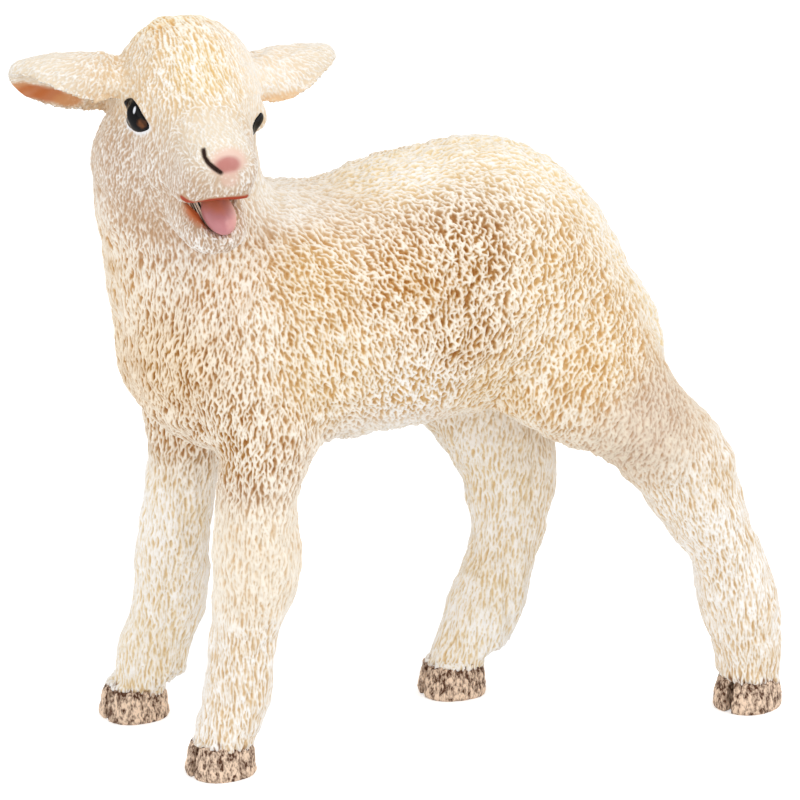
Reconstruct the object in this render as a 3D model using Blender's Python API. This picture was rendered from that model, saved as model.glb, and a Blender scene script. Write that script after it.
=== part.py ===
"""Toy lamb figure, standing with its head turned to its left and its mouth open.

The real figure is a solid soft-PVC casting. Its master sculpture is cut into a few castings that
each pull from a steel mould: the trunk, the head with its neck, two ears, a tail and four legs.
Each casting has a keyed plug that is glued into a socket of its neighbour. The hooves, eyes, nose
and tongue are the zones that get their own colour, and each is a solid of its own here.

Metres. +Z is up, the lamb looks along -Y with its breast, and its left side is +X.
The four soles stand on z = 0, and the origin is under the middle of the figure's box.
"""

import math

import bmesh
import bpy
import numpy as np
from mathutils import Matrix, Vector

# Trunk: driving sizes of the barrel between breast and rump
belly_height = 0.0200
body_depth = 0.0185
body_length = 0.0355
body_width = 0.0172

# Neck: a thick woolly column from the trunk up to the skull
neck_foot_share = 0.4865
neck_reach_share = 0.4056
neck_rise = 0.0150
neck_thickness = 0.0120
neck_foot_height = belly_height + body_depth * neck_foot_share
neck_reach = body_length * neck_reach_share

# Head: the place of the skull's middle, the size of the head, and the way it is turned
skull_forward_share = 0.986
skull_left = 0.0025
skull_forward = neck_reach * skull_forward_share
skull_height = neck_foot_height + neck_rise
head_length = 0.0142
head_width = 0.0089
head_depth = 0.0097
head_turn_deg = 86.5
head_nod_deg = 13.0
head_tilt_deg = 6.0
jaw_tilt_deg = -1.0
mouth_tilt_deg = 4.0

# Ears: held out level, swept back, and cupped with the open side down and forward
ear_length = 0.0070
ear_width = 0.0049
ear_cup = 0.0029
ear_wall = 0.0009
ear_sweep_deg = 21.0
ear_left_lift_deg = 8.0
ear_right_lift_deg = -6.0
ear_roll_deg = 62.0

# Eyes, nose, mouth and tongue: shares of the head's size along the same way
eye_length_share = 0.222
eye_opening_share = 0.190
eye_ball_share = 0.60
eye_rise_share = 0.028
eye_depth_share = 0.110
nose_width_share = 0.285
nose_height_share = 0.180
nose_depth_share = 0.211
mouth_width_share = 0.540
mouth_gape_share = 0.170
mouth_depth_share = 0.282
mouth_arch_share = 0.105
tongue_width_share = 0.200
tongue_thickness_share = 0.170
tongue_length_share = 0.260

# Tail: short, hanging against the rump
tail_length = 0.0100
tail_width = 0.0038
tail_thickness = 0.0029

# Legs: overall thickness of a leg at the cannon, and where each foot stands,
# as its place forward / body_length and left / body_width
leg_depth = 0.0048
leg_width = 0.0044
front_left_foot_shares = (0.3690, 0.2733)
front_right_foot_shares = (0.4113, -0.4360)
hind_left_foot_shares = (-0.6592, 0.3372)
hind_right_foot_shares = (-0.1803, -0.2209)

# Hooves: each has two claws with a cleft between them
hoof_length = 0.0048
hoof_width = 0.0046
hoof_height = 0.0025
hoof_heel_drop = 0.0006
hoof_flare = 0.0003
cleft_width = 0.0005

# Seams between the castings, and the keyed plugs that are glued across them
seam_gap = 0.0003
inlay_gap = 0.0002
leg_seam_drop = 0.0014
leg_plug_width = 0.0020
leg_plug_length = 0.0030
neck_plug_width = 0.0044
neck_plug_length = 0.0040
plug_bevel = 0.0003
plug_root = 0.0012

# Fineness of the sculpted skins
trunk_voxel = 0.00065
head_voxel = 0.00040
trunk_faces = 4300
head_faces = 3900
smoothing_passes = 6

# One overrun serves every cutter
overrun = 0.0010

# Tables of shares. Each row says how the section stands to the driving sizes above.
# Trunk: forward / body_length, top and bottom above the belly / body_depth, width / body_width
trunk_shares = (
    (-0.480, 0.37, 0.24, 0.18),
    (-0.465, 0.49, 0.14, 0.38),
    (-0.418, 0.70, 0.09, 0.58),
    (-0.335, 0.90, 0.07, 0.80),
    (-0.225, 1.00, 0.06, 0.94),
    (-0.127, 0.99, 0.06, 1.00),
    (0.000, 0.955, 0.035, 1.01),
    (0.121, 0.90, 0.02, 1.00),
    (0.230, 0.935, 0.01, 0.97),
    (0.355, 0.89, 0.03, 0.87),
    (0.437, 0.75, 0.13, 0.67),
    (0.482, 0.56, 0.26, 0.36),
    (0.493, 0.47, 0.36, 0.14),
)
# Neck: height / neck_rise, forward / neck_reach, left / skull_left, depth, width / neck_thickness
neck_shares = (
    (-0.13, 0.64, 0.00, 1.12, 1.05),
    (0.00, 0.74, 0.00, 1.19, 1.08),
    (0.20, 0.83, 0.04, 1.07, 1.00),
    (0.40, 0.905, 0.24, 0.985, 0.88),
    (0.60, 0.99, 0.52, 0.90, 0.77),
    (0.80, 1.025, 0.80, 0.87, 0.71),
    (1.00, 1.00, 1.00, 0.70, 0.58),
)
# Skull and upper muzzle: forward / head_length, top and bottom / head_depth, width / head_width
skull_shares = (
    (-0.331, 0.03, -0.05, 0.14),
    (-0.296, 0.27, -0.29, 0.58),
    (-0.183, 0.45, -0.43, 0.86),
    (0.000, 0.53, -0.47, 1.00),
    (0.127, 0.47, -0.46, 0.96),
    (0.225, 0.38, -0.42, 0.83),
    (0.335, 0.27, -0.37, 0.68),
    (0.450, 0.19, -0.345, 0.61),
    (0.563, 0.14, -0.335, 0.57),
    (0.630, 0.10, -0.315, 0.49),
    (0.660, 0.02, -0.25, 0.31),
)
# Lower jaw, on the same axes: forward, top, bottom, width
jaw_shares = (
    (-0.106, -0.10, -0.45, 0.52),
    (0.070, -0.15, -0.57, 0.62),
    (0.246, -0.23, -0.67, 0.60),
    (0.387, -0.33, -0.71, 0.55),
    (0.507, -0.47, -0.73, 0.49),
    (0.577, -0.54, -0.71, 0.38),
    (0.606, -0.58, -0.66, 0.18),
)
# Mouth: back from the lips / mouth_depth, width / mouth_width,
# then how far its floor and its lip line are down / mouth_gape
mouth_shares = (
    (1.00, 0.40, 0.16, 0.16),
    (0.75, 0.72, 0.42, 0.10),
    (0.45, 0.94, 0.74, 0.04),
    (0.15, 1.02, 0.98, 0.00),
    (-0.20, 1.04, 1.12, 0.00),
    (-0.60, 1.04, 1.24, 0.00),
)
# Clay laid over the skull: place forward / head_length, left / head_width and up / head_depth,
# then the half sizes along the same three ways. Rows off the middle are laid on both sides.
face_clay_shares = (
    (0.18, 0.22, -0.24, 0.22, 0.21, 0.27),
    (0.15, 0.34, 0.12, 0.11, 0.13, 0.09),
    (0.44, 0.15, -0.26, 0.21, 0.145, 0.145),
)
# Ear: along / ear_length, width / ear_width, cup / ear_cup, roll / ear_roll_deg
ear_shares = (
    (-0.22, 0.40, 0.10, 1.00),
    (-0.10, 0.66, 0.45, 1.00),
    (0.04, 0.88, 0.85, 1.00),
    (0.20, 1.00, 1.05, 0.97),
    (0.36, 1.03, 1.02, 0.90),
    (0.54, 0.98, 0.88, 0.82),
    (0.72, 0.86, 0.66, 0.75),
    (0.87, 0.64, 0.42, 0.70),
    (0.96, 0.38, 0.20, 0.67),
    (1.00, 0.14, 0.05, 0.65),
)
# Tail: down from its root and back / tail_length, width / tail_width, thickness / tail_thickness
tail_shares = (
    (-0.16, -0.34, 0.40, 0.40),
    (0.00, -0.22, 0.80, 0.80),
    (0.20, -0.09, 1.00, 1.00),
    (0.45, 0.00, 1.00, 1.00),
    (0.70, 0.05, 0.96, 1.00),
    (0.88, 0.06, 0.80, 0.92),
    (0.97, 0.05, 0.50, 0.56),
    (1.00, 0.04, 0.20, 0.20),
)
# Legs: height, forward and outward of the foot / belly_height, depth / leg_depth, width / leg_width
front_left_shares = (
    (0.00, 0.000, 0.000, 0.96, 1.00),
    (0.14, -0.020, 0.002, 0.96, 0.96),
    (0.24, -0.055, 0.005, 0.95, 0.93),
    (0.39, -0.072, 0.010, 0.88, 0.87),
    (0.49, -0.088, 0.015, 0.94, 0.92),
    (0.59, -0.110, 0.020, 1.12, 1.02),
    (0.69, -0.120, 0.030, 1.20, 1.09),
    (0.81, -0.115, 0.035, 1.13, 1.09),
    (0.94, -0.120, 0.040, 1.08, 1.14),
    (1.07, -0.155, 0.040, 1.29, 1.27),
    (1.25, -0.145, 0.015, 1.92, 1.45),
    (1.45, -0.115, -0.020, 2.33, 1.45),
    (1.60, -0.105, -0.045, 1.88, 1.18),
)
front_right_shares = (
    (0.00, 0.000, 0.000, 1.00, 1.00),
    (0.15, -0.048, -0.015, 1.06, 0.98),
    (0.26, -0.074, -0.025, 1.06, 0.95),
    (0.36, -0.104, -0.045, 1.02, 0.91),
    (0.47, -0.114, -0.065, 1.04, 0.95),
    (0.58, -0.110, -0.085, 0.98, 1.00),
    (0.74, -0.120, -0.110, 0.98, 1.00),
    (0.90, -0.140, -0.125, 0.98, 1.05),
    (1.05, -0.160, -0.125, 1.25, 1.23),
    (1.25, -0.180, -0.135, 1.83, 1.41),
    (1.45, -0.180, -0.160, 2.25, 1.41),
    (1.60, -0.180, -0.185, 1.83, 1.18),
)
hind_right_shares = (
    (0.00, 0.000, 0.000, 0.98, 1.00),
    (0.10, -0.030, 0.005, 1.10, 0.98),
    (0.17, -0.072, 0.010, 1.16, 0.95),
    (0.27, -0.122, 0.015, 1.19, 0.95),
    (0.37, -0.155, 0.020, 1.09, 0.93),
    (0.46, -0.195, 0.030, 1.00, 0.95),
    (0.56, -0.214, 0.040, 1.07, 1.00),
    (0.66, -0.228, 0.050, 1.27, 1.09),
    (0.76, -0.216, 0.060, 1.47, 1.23),
    (0.87, -0.165, 0.070, 1.71, 1.36),
    (1.00, -0.125, 0.070, 2.08, 1.50),
    (1.20, -0.110, 0.055, 2.50, 1.64),
    (1.40, -0.130, 0.030, 2.50, 1.64),
    (1.60, -0.140, 0.005, 1.92, 1.36),
)
hind_left_shares = (
    (0.00, 0.000, 0.000, 1.00, 1.00),
    (0.18, 0.005, 0.005, 0.98, 0.95),
    (0.28, 0.020, 0.010, 1.06, 0.95),
    (0.39, 0.045, 0.015, 1.13, 0.95),
    (0.50, 0.075, 0.020, 1.04, 0.98),
    (0.61, 0.135, 0.020, 1.13, 1.05),
    (0.72, 0.196, 0.020, 1.29, 1.18),
    (0.83, 0.252, 0.020, 1.50, 1.27),
    (0.94, 0.332, 0.020, 1.98, 1.41),
    (1.05, 0.495, 0.000, 2.60, 1.55),
    (1.20, 0.600, -0.035, 2.55, 1.62),
    (1.40, 0.605, -0.080, 2.05, 1.45),
    (1.60, 0.600, -0.140, 1.40, 1.00),
)
# Hoof wall: height / hoof_height, flare / hoof_flare. Then the two clefts' lengths / hoof_length.
hoof_shares = ((0.0, 1.0), (0.12, 1.2), (0.5, 0.75), (0.85, 0.2), (1.25, 0.0))
toe_cleft_share = 0.60
heel_cleft_share = 0.28
# Toes: how far each foot is turned to the lamb's left
front_left_toe_deg = 12.0
front_right_toe_deg = 10.0
hind_left_toe_deg = 28.0
hind_right_toe_deg = 0.0

# Places on the head: forward / head_length, left / head_width, up / head_depth
eye_place_shares = (0.205, 0.425, -0.010)
nose_place_shares = (0.660, 0.035, -0.010)
mouth_place_shares = (0.630, 0.040, -0.375)
tongue_place_shares = (0.500, 0.015, -0.465)
ear_root_shares = (-0.055, 0.455, 0.030)
nostril_place_shares = (0.670, 0.105, -0.030)
eye_face_deg = 53.0
eye_slant_deg = 36.0
tongue_droop_deg = 16.0
nostril_slant_deg = 28.0
nostril_width_share = 0.045
nostril_height_share = 0.130

wool_colour = (0.86, 0.74, 0.56, 1.0)
face_colour = (0.90, 0.84, 0.76, 1.0)
leg_colour = (0.90, 0.80, 0.64, 1.0)
horn_colour = (0.32, 0.20, 0.14, 1.0)
eye_colour = (0.010, 0.009, 0.009, 1.0)
nose_colour = (0.72, 0.42, 0.38, 1.0)
tongue_colour = (0.78, 0.38, 0.34, 1.0)


def place(forward, left, up):
    """A point given by how far it is forward, to the lamb's left, and up."""
    return Vector((left, -forward, up))


def clear_scene():
    for obj in list(bpy.data.objects):
        bpy.data.objects.remove(obj)


def new_object(name, bm):
    """An object from a bmesh, which is used up, with its faces pointing out."""
    bmesh.ops.recalc_face_normals(bm, faces=bm.faces)
    mesh = bpy.data.meshes.new(name)
    bm.to_mesh(mesh)
    bm.free()
    obj = bpy.data.objects.new(name, mesh)
    bpy.context.scene.collection.objects.link(obj)
    return obj


def paint(obj, name, colour, roughness):
    """Gives a piece its own Principled material and soft shading."""
    material = bpy.data.materials.new(name)
    material.use_nodes = True
    shader = material.node_tree.nodes["Principled BSDF"]
    shader.inputs["Base Color"].default_value = colour
    shader.inputs["Roughness"].default_value = roughness
    shader.inputs["Metallic"].default_value = 0.0
    obj.data.materials.clear()
    obj.data.materials.append(material)
    obj.data.shade_smooth()
    obj.data.set_sharp_from_angle(angle=math.radians(40))
    return obj


def faired(table, steps):
    """The rows of a table with more rows between them, on a Catmull-Rom curve through all of them."""
    rows = np.array(table, float)
    ends = np.vstack([2 * rows[0] - rows[1], rows, 2 * rows[-1] - rows[-2]])
    made = []
    for i in range(len(rows) - 1):
        before, start, stop, after = ends[i : i + 4]
        for t in np.linspace(0, 1, steps, endpoint=False):
            made.append(
                0.5
                * (
                    2 * start
                    + (stop - before) * t
                    + (2 * before - 5 * start + 4 * stop - after) * t**2
                    + (3 * start - before - 3 * stop + after) * t**3
                )
            )
    made.append(rows[-1])
    return made


def loft(bm, rings):
    """Bridges closed rings of points one to the next and closes both ends with a fan."""
    loops = [[bm.verts.new(p) for p in ring] for ring in rings]
    for lower, upper in zip(loops, loops[1:]):
        for i in range(len(lower)):
            j = (i + 1) % len(lower)
            bm.faces.new((lower[i], lower[j], upper[j], upper[i]))
    for loop in (loops[0], loops[-1]):
        middle = bm.verts.new(sum((v.co for v in loop), Vector()) / len(loop))
        for i in range(len(loop)):
            bm.faces.new((loop[i], loop[(i + 1) % len(loop)], middle))


def oval(centre, half_a, half_b, sides, squareness=2.0):
    """A ring of points: an ellipse, or a fuller oval where squareness is over 2."""
    ring = []
    for i in range(sides):
        angle = 2 * math.pi * i / sides
        c, s = math.cos(angle), math.sin(angle)
        a = math.copysign(abs(c) ** (2 / squareness), c)
        b = math.copysign(abs(s) ** (2 / squareness), s)
        ring.append(centre + half_a * a + half_b * b)
    return ring


def add_ellipsoid(bm, centre, halves, turn=None, fineness=3):
    """A ball stretched to three half sizes and turned."""
    made = bmesh.ops.create_icosphere(bm, subdivisions=fineness, radius=1)
    matrix = Matrix.Translation(centre) @ (turn or Matrix.Identity(4))
    matrix = matrix @ Matrix.Diagonal((*halves, 1))
    bmesh.ops.transform(bm, matrix=matrix, verts=made["verts"])


def add_block(bm, matrix, sizes):
    """A box with its middle at the matrix's place."""
    made = bmesh.ops.create_cube(bm, size=1)
    bmesh.ops.transform(bm, matrix=matrix @ Matrix.Diagonal((*sizes, 1)), verts=made["verts"])


def baked(obj):
    """Replaces an object's mesh by the mesh that its modifiers make."""
    graph = bpy.context.evaluated_depsgraph_get()
    mesh = bpy.data.meshes.new_from_object(obj.evaluated_get(graph))
    obj.modifiers.clear()
    obj.data = mesh
    return obj


def combine(obj, other, operation, keep=False):
    """An exact Boolean of two objects, left in the first. The other is removed."""
    boolean = obj.modifiers.new(operation.title(), "BOOLEAN")
    boolean.operation = operation
    boolean.solver = "EXACT"
    boolean.object = other
    baked(obj)
    if not keep:
        bpy.data.objects.remove(other)
    return obj


def drop_fins(obj):
    """Deletes slivers that lie back to back on the same three points."""
    bm = bmesh.new()
    bm.from_mesh(obj.data)
    bmesh.ops.triangulate(bm, faces=bm.faces)
    found = {}
    for face in bm.faces:
        found.setdefault(frozenset(face.verts), []).append(face)
    fins = [face for faces in found.values() if len(faces) > 1 for face in faces]
    bmesh.ops.delete(bm, geom=fins, context="FACES")
    bm.to_mesh(obj.data)
    bm.free()
    return obj


def cut_away(obj, cutters):
    """Cuts several shapes out of an object in one exact Boolean. The cutters are removed."""
    group = bpy.data.collections.new("cutters")
    for cutter in cutters:
        group.objects.link(cutter)
    boolean = obj.modifiers.new("Cut away", "BOOLEAN")
    boolean.operation = "DIFFERENCE"
    boolean.solver = "EXACT"
    boolean.operand_type = "COLLECTION"
    boolean.collection = group
    baked(obj)
    for cutter in cutters:
        bpy.data.objects.remove(cutter)
    bpy.data.collections.remove(group)
    return drop_fins(obj)


def swollen(obj, gap):
    """The same shape with its skin moved out by a gap, for the socket that it sits in."""
    swell = obj.modifiers.new("Swell", "DISPLACE")
    swell.strength = gap
    swell.mid_level = 0
    return baked(obj)


def sculpt(name, bm, voxel, faces):
    """Fuses overlapping lumps into one skin, smooths it as clay is smoothed, and thins its faces."""
    obj = new_object(name, bm)
    fuse = obj.modifiers.new("Fuse", "REMESH")
    fuse.mode = "VOXEL"
    fuse.voxel_size = voxel
    soften = obj.modifiers.new("Soften", "SMOOTH")
    soften.factor = 0.5
    soften.iterations = smoothing_passes
    baked(obj)
    thin = obj.modifiers.new("Thin", "DECIMATE")
    thin.ratio = min(1.0, faces / (2 * len(obj.data.polygons)))
    return baked(obj)


# The trunk's table as rings, and the lumps that the trunk and the head share


def add_trunk_lump(bm):
    rings = []
    for along, top, bottom, width in faired(trunk_shares, 3):
        middle = belly_height + body_depth * (top + bottom) / 2
        half_depth = body_depth * (top - bottom) / 2
        rings.append(
            oval(
                place(body_length * along, 0, middle),
                Vector((body_width * width / 2, 0, 0)),
                Vector((0, 0, half_depth)),
                28,
                2.25,
            )
        )
    loft(bm, rings)


def neck_middle(height, forward, left):
    """A point of the neck's middle line, from a row of its table."""
    return place(neck_reach * forward, skull_left * left, neck_foot_height + neck_rise * height)


def add_neck_lump(bm):
    rings = []
    for height, forward, left, depth, width in faired(neck_shares, 3):
        centre = neck_middle(height, forward, left)
        rings.append(
            oval(
                centre,
                Vector((neck_thickness * width / 2, 0, 0)),
                Vector((0, neck_thickness * depth / 2, 0)),
                24,
            )
        )
    loft(bm, rings)


# Legs: one loft from the floor up into the trunk

LEGS = {
    "foreleg_left": (front_left_foot_shares, front_left_shares, front_left_toe_deg),
    "foreleg_right": (front_right_foot_shares, front_right_shares, front_right_toe_deg),
    "hindleg_left": (hind_left_foot_shares, hind_left_shares, hind_left_toe_deg),
    "hindleg_right": (hind_right_foot_shares, hind_right_shares, hind_right_toe_deg),
}


def foot_place(leg):
    """Where a foot stands: how far forward and how far to the left."""
    forward, left = LEGS[leg][0]
    return body_length * forward, body_width * left


def leg_centre(leg, height, forward, outward):
    """A point of a leg's middle line, from a row of its table."""
    foot_forward, foot_left = foot_place(leg)
    side = math.copysign(1, foot_left)
    return place(
        foot_forward + belly_height * forward,
        foot_left + side * belly_height * outward,
        belly_height * height,
    )


def add_leg_lump(bm, leg, sides, steps):
    rings = []
    for height, forward, outward, depth, width in faired(LEGS[leg][1], steps):
        rings.append(
            oval(
                leg_centre(leg, height, forward, outward),
                Vector((leg_width * width / 2, 0, 0)),
                Vector((0, leg_depth * depth / 2, 0)),
                sides,
            )
        )
    loft(bm, rings)


def leg_at(leg, height):
    """The middle of a leg at a height above the floor."""
    rows = np.array(faired(LEGS[leg][1], 8))
    share = height / belly_height
    forward = float(np.interp(share, rows[:, 0], rows[:, 1]))
    outward = float(np.interp(share, rows[:, 0], rows[:, 2]))
    return leg_centre(leg, share, forward, outward)


def leg_plug(leg, growth=0.0):
    """A leg's plug, which stands on its seam and leans as the leg leans."""
    seat = leg_at(leg, leg_seam_height())
    way = leg_at(leg, leg_seam_height() + leg_plug_length) - seat
    return plug(seat, way.normalized(), leg_plug_width, leg_plug_length, growth)


# Head: everything on it is placed in the skull's own frame


def head_frame(tilt_deg=head_tilt_deg):
    turn = Matrix.Rotation(math.radians(head_turn_deg), 4, "Z")
    nod = Matrix.Rotation(math.radians(head_nod_deg), 4, "X")
    tilt = Matrix.Rotation(math.radians(tilt_deg), 4, "Y")
    return Matrix.Translation(place(skull_forward, skull_left, skull_height)) @ turn @ nod @ tilt


def jaw_frame():
    """The open jaw doesn't follow the skull's tilt."""
    return head_frame(jaw_tilt_deg)


def on_head(shares, side=1, frame=None):
    """A place on the head from its forward, left and up shares of the head's sizes."""
    forward, left, up = shares
    local = place(head_length * forward, side * head_width * left, head_depth * up)
    return (frame or head_frame()) @ local


def add_head_loft(bm, table, frame, squareness):
    turn = frame.to_3x3()
    rings = []
    for forward, top, bottom, width in faired(table, 3):
        centre = frame @ place(head_length * forward, 0, head_depth * (top + bottom) / 2)
        rings.append(
            oval(
                centre,
                turn @ Vector((head_width * width / 2, 0, 0)),
                turn @ Vector((0, 0, head_depth * (top - bottom) / 2)),
                24,
                squareness,
            )
        )
    loft(bm, rings)


def add_head_lumps(bm):
    add_head_loft(bm, skull_shares, head_frame(), 2.1)
    add_head_loft(bm, jaw_shares, jaw_frame(), 2.2)
    turn = head_frame().to_3x3().to_4x4()
    for forward, left, up, long, wide, tall in face_clay_shares:
        for side in (1, -1) if left else (1,):
            halves = (head_width * wide, head_length * long, head_depth * tall)
            add_ellipsoid(bm, on_head((forward, left, up), side), halves, turn)


# Seams


def neck_seam():
    """Where the neck is cut: a point in the neck's middle and the way up along the neck."""
    low = neck_middle(*neck_shares[1][:3])
    high = neck_middle(*neck_shares[3][:3])
    lean = Vector((0, -neck_thickness, 0)) / 2
    return (low + high) / 2, ((high - low).normalized() * neck_thickness + lean).normalized()


def slab(point, normal, sizes):
    """A box that lies on the far side of the plane through point, along normal."""
    aim = normal.to_track_quat("Z", "Y").to_matrix().to_4x4()
    centre = point + normal * (sizes[2] / 2)
    bm = bmesh.new()
    add_block(bm, Matrix.Translation(centre) @ aim, sizes)
    return new_object("cutter", bm)


def plug(point, normal, width, length, growth=0.0):
    """A tapered square plug that stands on a seam, with a root inside its own casting."""
    aim = normal.to_track_quat("Z", "Y").to_matrix().to_4x4()
    total = length + plug_root
    bm = bmesh.new()
    made = bmesh.ops.create_cone(
        bm,
        cap_ends=True,
        segments=4,
        radius1=(width / 2 + growth) * math.sqrt(2),
        radius2=(width * 0.4 + growth) * math.sqrt(2),
        depth=total + growth,
    )
    bmesh.ops.transform(
        bm,
        matrix=Matrix.Translation(point + normal * ((total + growth) / 2 - plug_root)) @ aim,
        verts=made["verts"],
    )
    uprights = [e for e in bm.edges if abs((e.verts[0].co - e.verts[1].co).dot(normal)) > length / 2]
    bmesh.ops.bevel(bm, geom=uprights, offset=plug_bevel, segments=1, affect="EDGES")
    return new_object("plug", bm)


def figure_reach():
    """A length that is longer than the whole figure, for cutters that must clear it."""
    return 2 * (body_length + neck_rise + belly_height + head_length)


def leg_seam_height():
    return belly_height - leg_seam_drop


# Trunk casting


def make_tail():
    root = place(-body_length / 2, 0, belly_height + body_depth * 0.52)
    bm = bmesh.new()
    rings = []
    for down, back, width, thickness in faired(tail_shares, 2):
        rings.append(
            oval(
                root + place(-tail_length * back, 0, -tail_length * down),
                Vector((tail_width * width / 2, 0, 0)),
                Vector((0, -tail_thickness * thickness / 2, 0)),
                12,
            )
        )
    loft(bm, rings)
    return new_object("tail", bm)


def make_trunk():
    bm = bmesh.new()
    add_trunk_lump(bm)
    add_neck_lump(bm)
    for leg in LEGS:
        add_leg_lump(bm, leg, 20, 3)
    trunk = sculpt("trunk", bm, trunk_voxel, trunk_faces)
    reach = figure_reach()
    point, up = neck_seam()
    combine(trunk, slab(point - up * (seam_gap / 2), up, (reach, reach, reach)), "DIFFERENCE")
    floor_cut = place(0, 0, leg_seam_height() + seam_gap / 2)
    combine(trunk, slab(floor_cut, place(0, 0, -1), (reach, reach, reach)), "DIFFERENCE")
    combine(trunk, plug(point, -up, neck_plug_width, neck_plug_length, inlay_gap), "DIFFERENCE")
    for leg in LEGS:
        combine(trunk, leg_plug(leg, inlay_gap), "DIFFERENCE")
    combine(trunk, swollen(make_tail(), seam_gap), "DIFFERENCE")
    return paint(trunk, "trunk_wool", wool_colour, 0.62)


# Leg castings and their hooves


def coronet(leg):
    """The plane between leg and hoof: a point, its upward normal, and the toe's way."""
    foot_forward, foot_left = foot_place(leg)
    ahead = Matrix.Rotation(math.radians(LEGS[leg][2]), 3, "Z") @ place(1, 0, 0)
    tilt = math.atan2(hoof_heel_drop, hoof_length)
    across = place(0, 0, 1).cross(ahead)
    normal = Matrix.Rotation(tilt, 3, across) @ place(0, 0, 1)
    return place(foot_forward, foot_left, hoof_height), normal, ahead


def make_leg(leg):
    bm = bmesh.new()
    add_leg_lump(bm, leg, 16, 2)
    obj = new_object(leg, bm)
    reach = figure_reach()
    top = leg_at(leg, leg_seam_height())
    combine(obj, slab(top - place(0, 0, seam_gap / 2), place(0, 0, 1), (reach, reach, reach)), "DIFFERENCE")
    point, normal, _ = coronet(leg)
    combine(obj, slab(point + normal * (inlay_gap / 2), -normal, (reach, reach, reach)), "DIFFERENCE")
    combine(obj, leg_plug(leg), "UNION")
    return paint(obj, leg + "_wool", leg_colour, 0.62)


def make_hoof(leg):
    """Two claws of horn: a wall that flares to the floor, split by the cleft from toe to heel."""
    point, normal, ahead = coronet(leg)
    across = place(0, 0, 1).cross(ahead)
    ground = Vector((point.x, point.y, 0))
    bm = bmesh.new()
    rings = []
    for level, flare in hoof_shares:
        grow = hoof_flare * flare
        centre = ground + place(0, 0, hoof_height * level) + ahead * (grow / 2)
        rings.append(
            oval(
                centre,
                across * (hoof_width / 2 - hoof_flare + grow),
                ahead * (hoof_length / 2 - hoof_flare + grow),
                20,
                2.4,
            )
        )
    loft(bm, rings)
    hoof = new_object("hoof_" + leg, bm)
    reach = figure_reach()
    combine(hoof, slab(point - normal * (inlay_gap / 2), normal, (reach, reach, reach)), "DIFFERENCE")
    aim = Matrix(((across.x, ahead.x, 0), (across.y, ahead.y, 0), (0, 0, 1))).to_4x4()
    for way, share in ((1, toe_cleft_share), (-1, heel_cleft_share)):
        length = hoof_length * share + overrun
        middle = ground + ahead * (way * (hoof_length / 2 + overrun - length / 2))
        bm = bmesh.new()
        add_block(bm, Matrix.Translation(middle) @ aim, (cleft_width, length, 2 * (hoof_height + overrun)))
        combine(hoof, new_object("cleft", bm), "DIFFERENCE")
    return paint(hoof, hoof.name + "_horn", horn_colour, 0.6)


# Ear castings


def ear_axes(side, roll):
    """The ear's root, its length, width and open-side directions. side is 1 on the left."""
    frame = head_frame().to_3x3()
    sweep = math.radians(ear_sweep_deg)
    lift = math.radians(ear_left_lift_deg if side > 0 else ear_right_lift_deg)
    out = place(-math.sin(sweep) * math.cos(lift), side * math.cos(sweep) * math.cos(lift), math.sin(lift))
    ahead = place(math.cos(sweep), side * math.sin(sweep), 0)
    below = out.cross(ahead) * side
    opening = ahead * math.cos(roll) + below * math.sin(roll)
    width = out.cross(opening)
    return on_head(ear_root_shares, side), frame @ out, frame @ width, frame @ opening


def make_ear(side):
    """A leaf cupped along its length. Its root is a solid oval that sits in the head's socket."""
    rings = []
    for along, wide, cup, roll in faired(ear_shares, 2):
        root, out, width, opening = ear_axes(side, math.radians(ear_roll_deg) * roll)
        centre = root + out * (ear_length * along)
        half = ear_width * wide / 2
        bow = ear_cup * cup
        wall = ear_wall / 2 * min(1.0, 2 * wide)
        ring = []
        for i in range(16):
            angle = 2 * math.pi * i / 16
            c, s = math.cos(angle), abs(math.sin(angle))
            # The wall follows half an ellipse, and its thickness runs out at the two rims
            outward = Vector((c * (bow + wall), -s * (half + wall), 0)).normalized()
            reach = wall * math.copysign(min(1.0, 2 * s), math.sin(angle))
            across = c * half + outward.x * reach
            open_side = bow / 2 - s * bow + outward.y * reach
            ring.append(centre + width * across + opening * open_side)
        rings.append(ring)
    bm = bmesh.new()
    loft(bm, rings)
    return new_object("ear_left" if side > 0 else "ear_right", bm)


# Inlaid pieces of the face


def eye_turn(side):
    """The eye's own axes: X out of the head, Y along the lids, Z up with the eye's slant."""
    frame = head_frame().to_3x3().to_4x4()
    face = Matrix.Rotation(side * math.radians(eye_face_deg) - math.pi / 2, 4, "Z")
    slant = Matrix.Rotation(-side * math.radians(eye_slant_deg), 4, "X")
    return frame @ face @ slant


def eye_outline(side, growth):
    """A teardrop whose full side is below: points in the plane of the lids, as along and across."""
    points = []
    for i in range(24):
        angle = 2 * math.pi * i / 24
        c, s = math.cos(angle), math.sin(angle)
        full = head_depth * eye_opening_share * (0.36 if s > 0 else 0.64)
        across = full * math.copysign(abs(s) ** 1.25, s)
        along = head_depth * eye_length_share / 2 + growth
        points.append((along * c, side * (across + math.copysign(growth, s) * abs(s))))
    return points


def eye_prism(side, growth, out_reach):
    """A prism over the eye's outline, from inside the skull out to out_reach above the lids."""
    frame = eye_turn(side)
    centre = on_head(eye_place_shares, side)
    out, across, along = (frame @ Vector(v) for v in ((1, 0, 0), (0, 1, 0), (0, 0, 1)))
    rings = []
    for reach in (-head_width * eye_depth_share - growth, out_reach):
        rings.append([centre + out * reach + along * u + across * v for u, v in eye_outline(side, growth)])
    bm = bmesh.new()
    loft(bm, rings)
    return new_object("eye_left" if side > 0 else "eye_right", bm)


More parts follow.
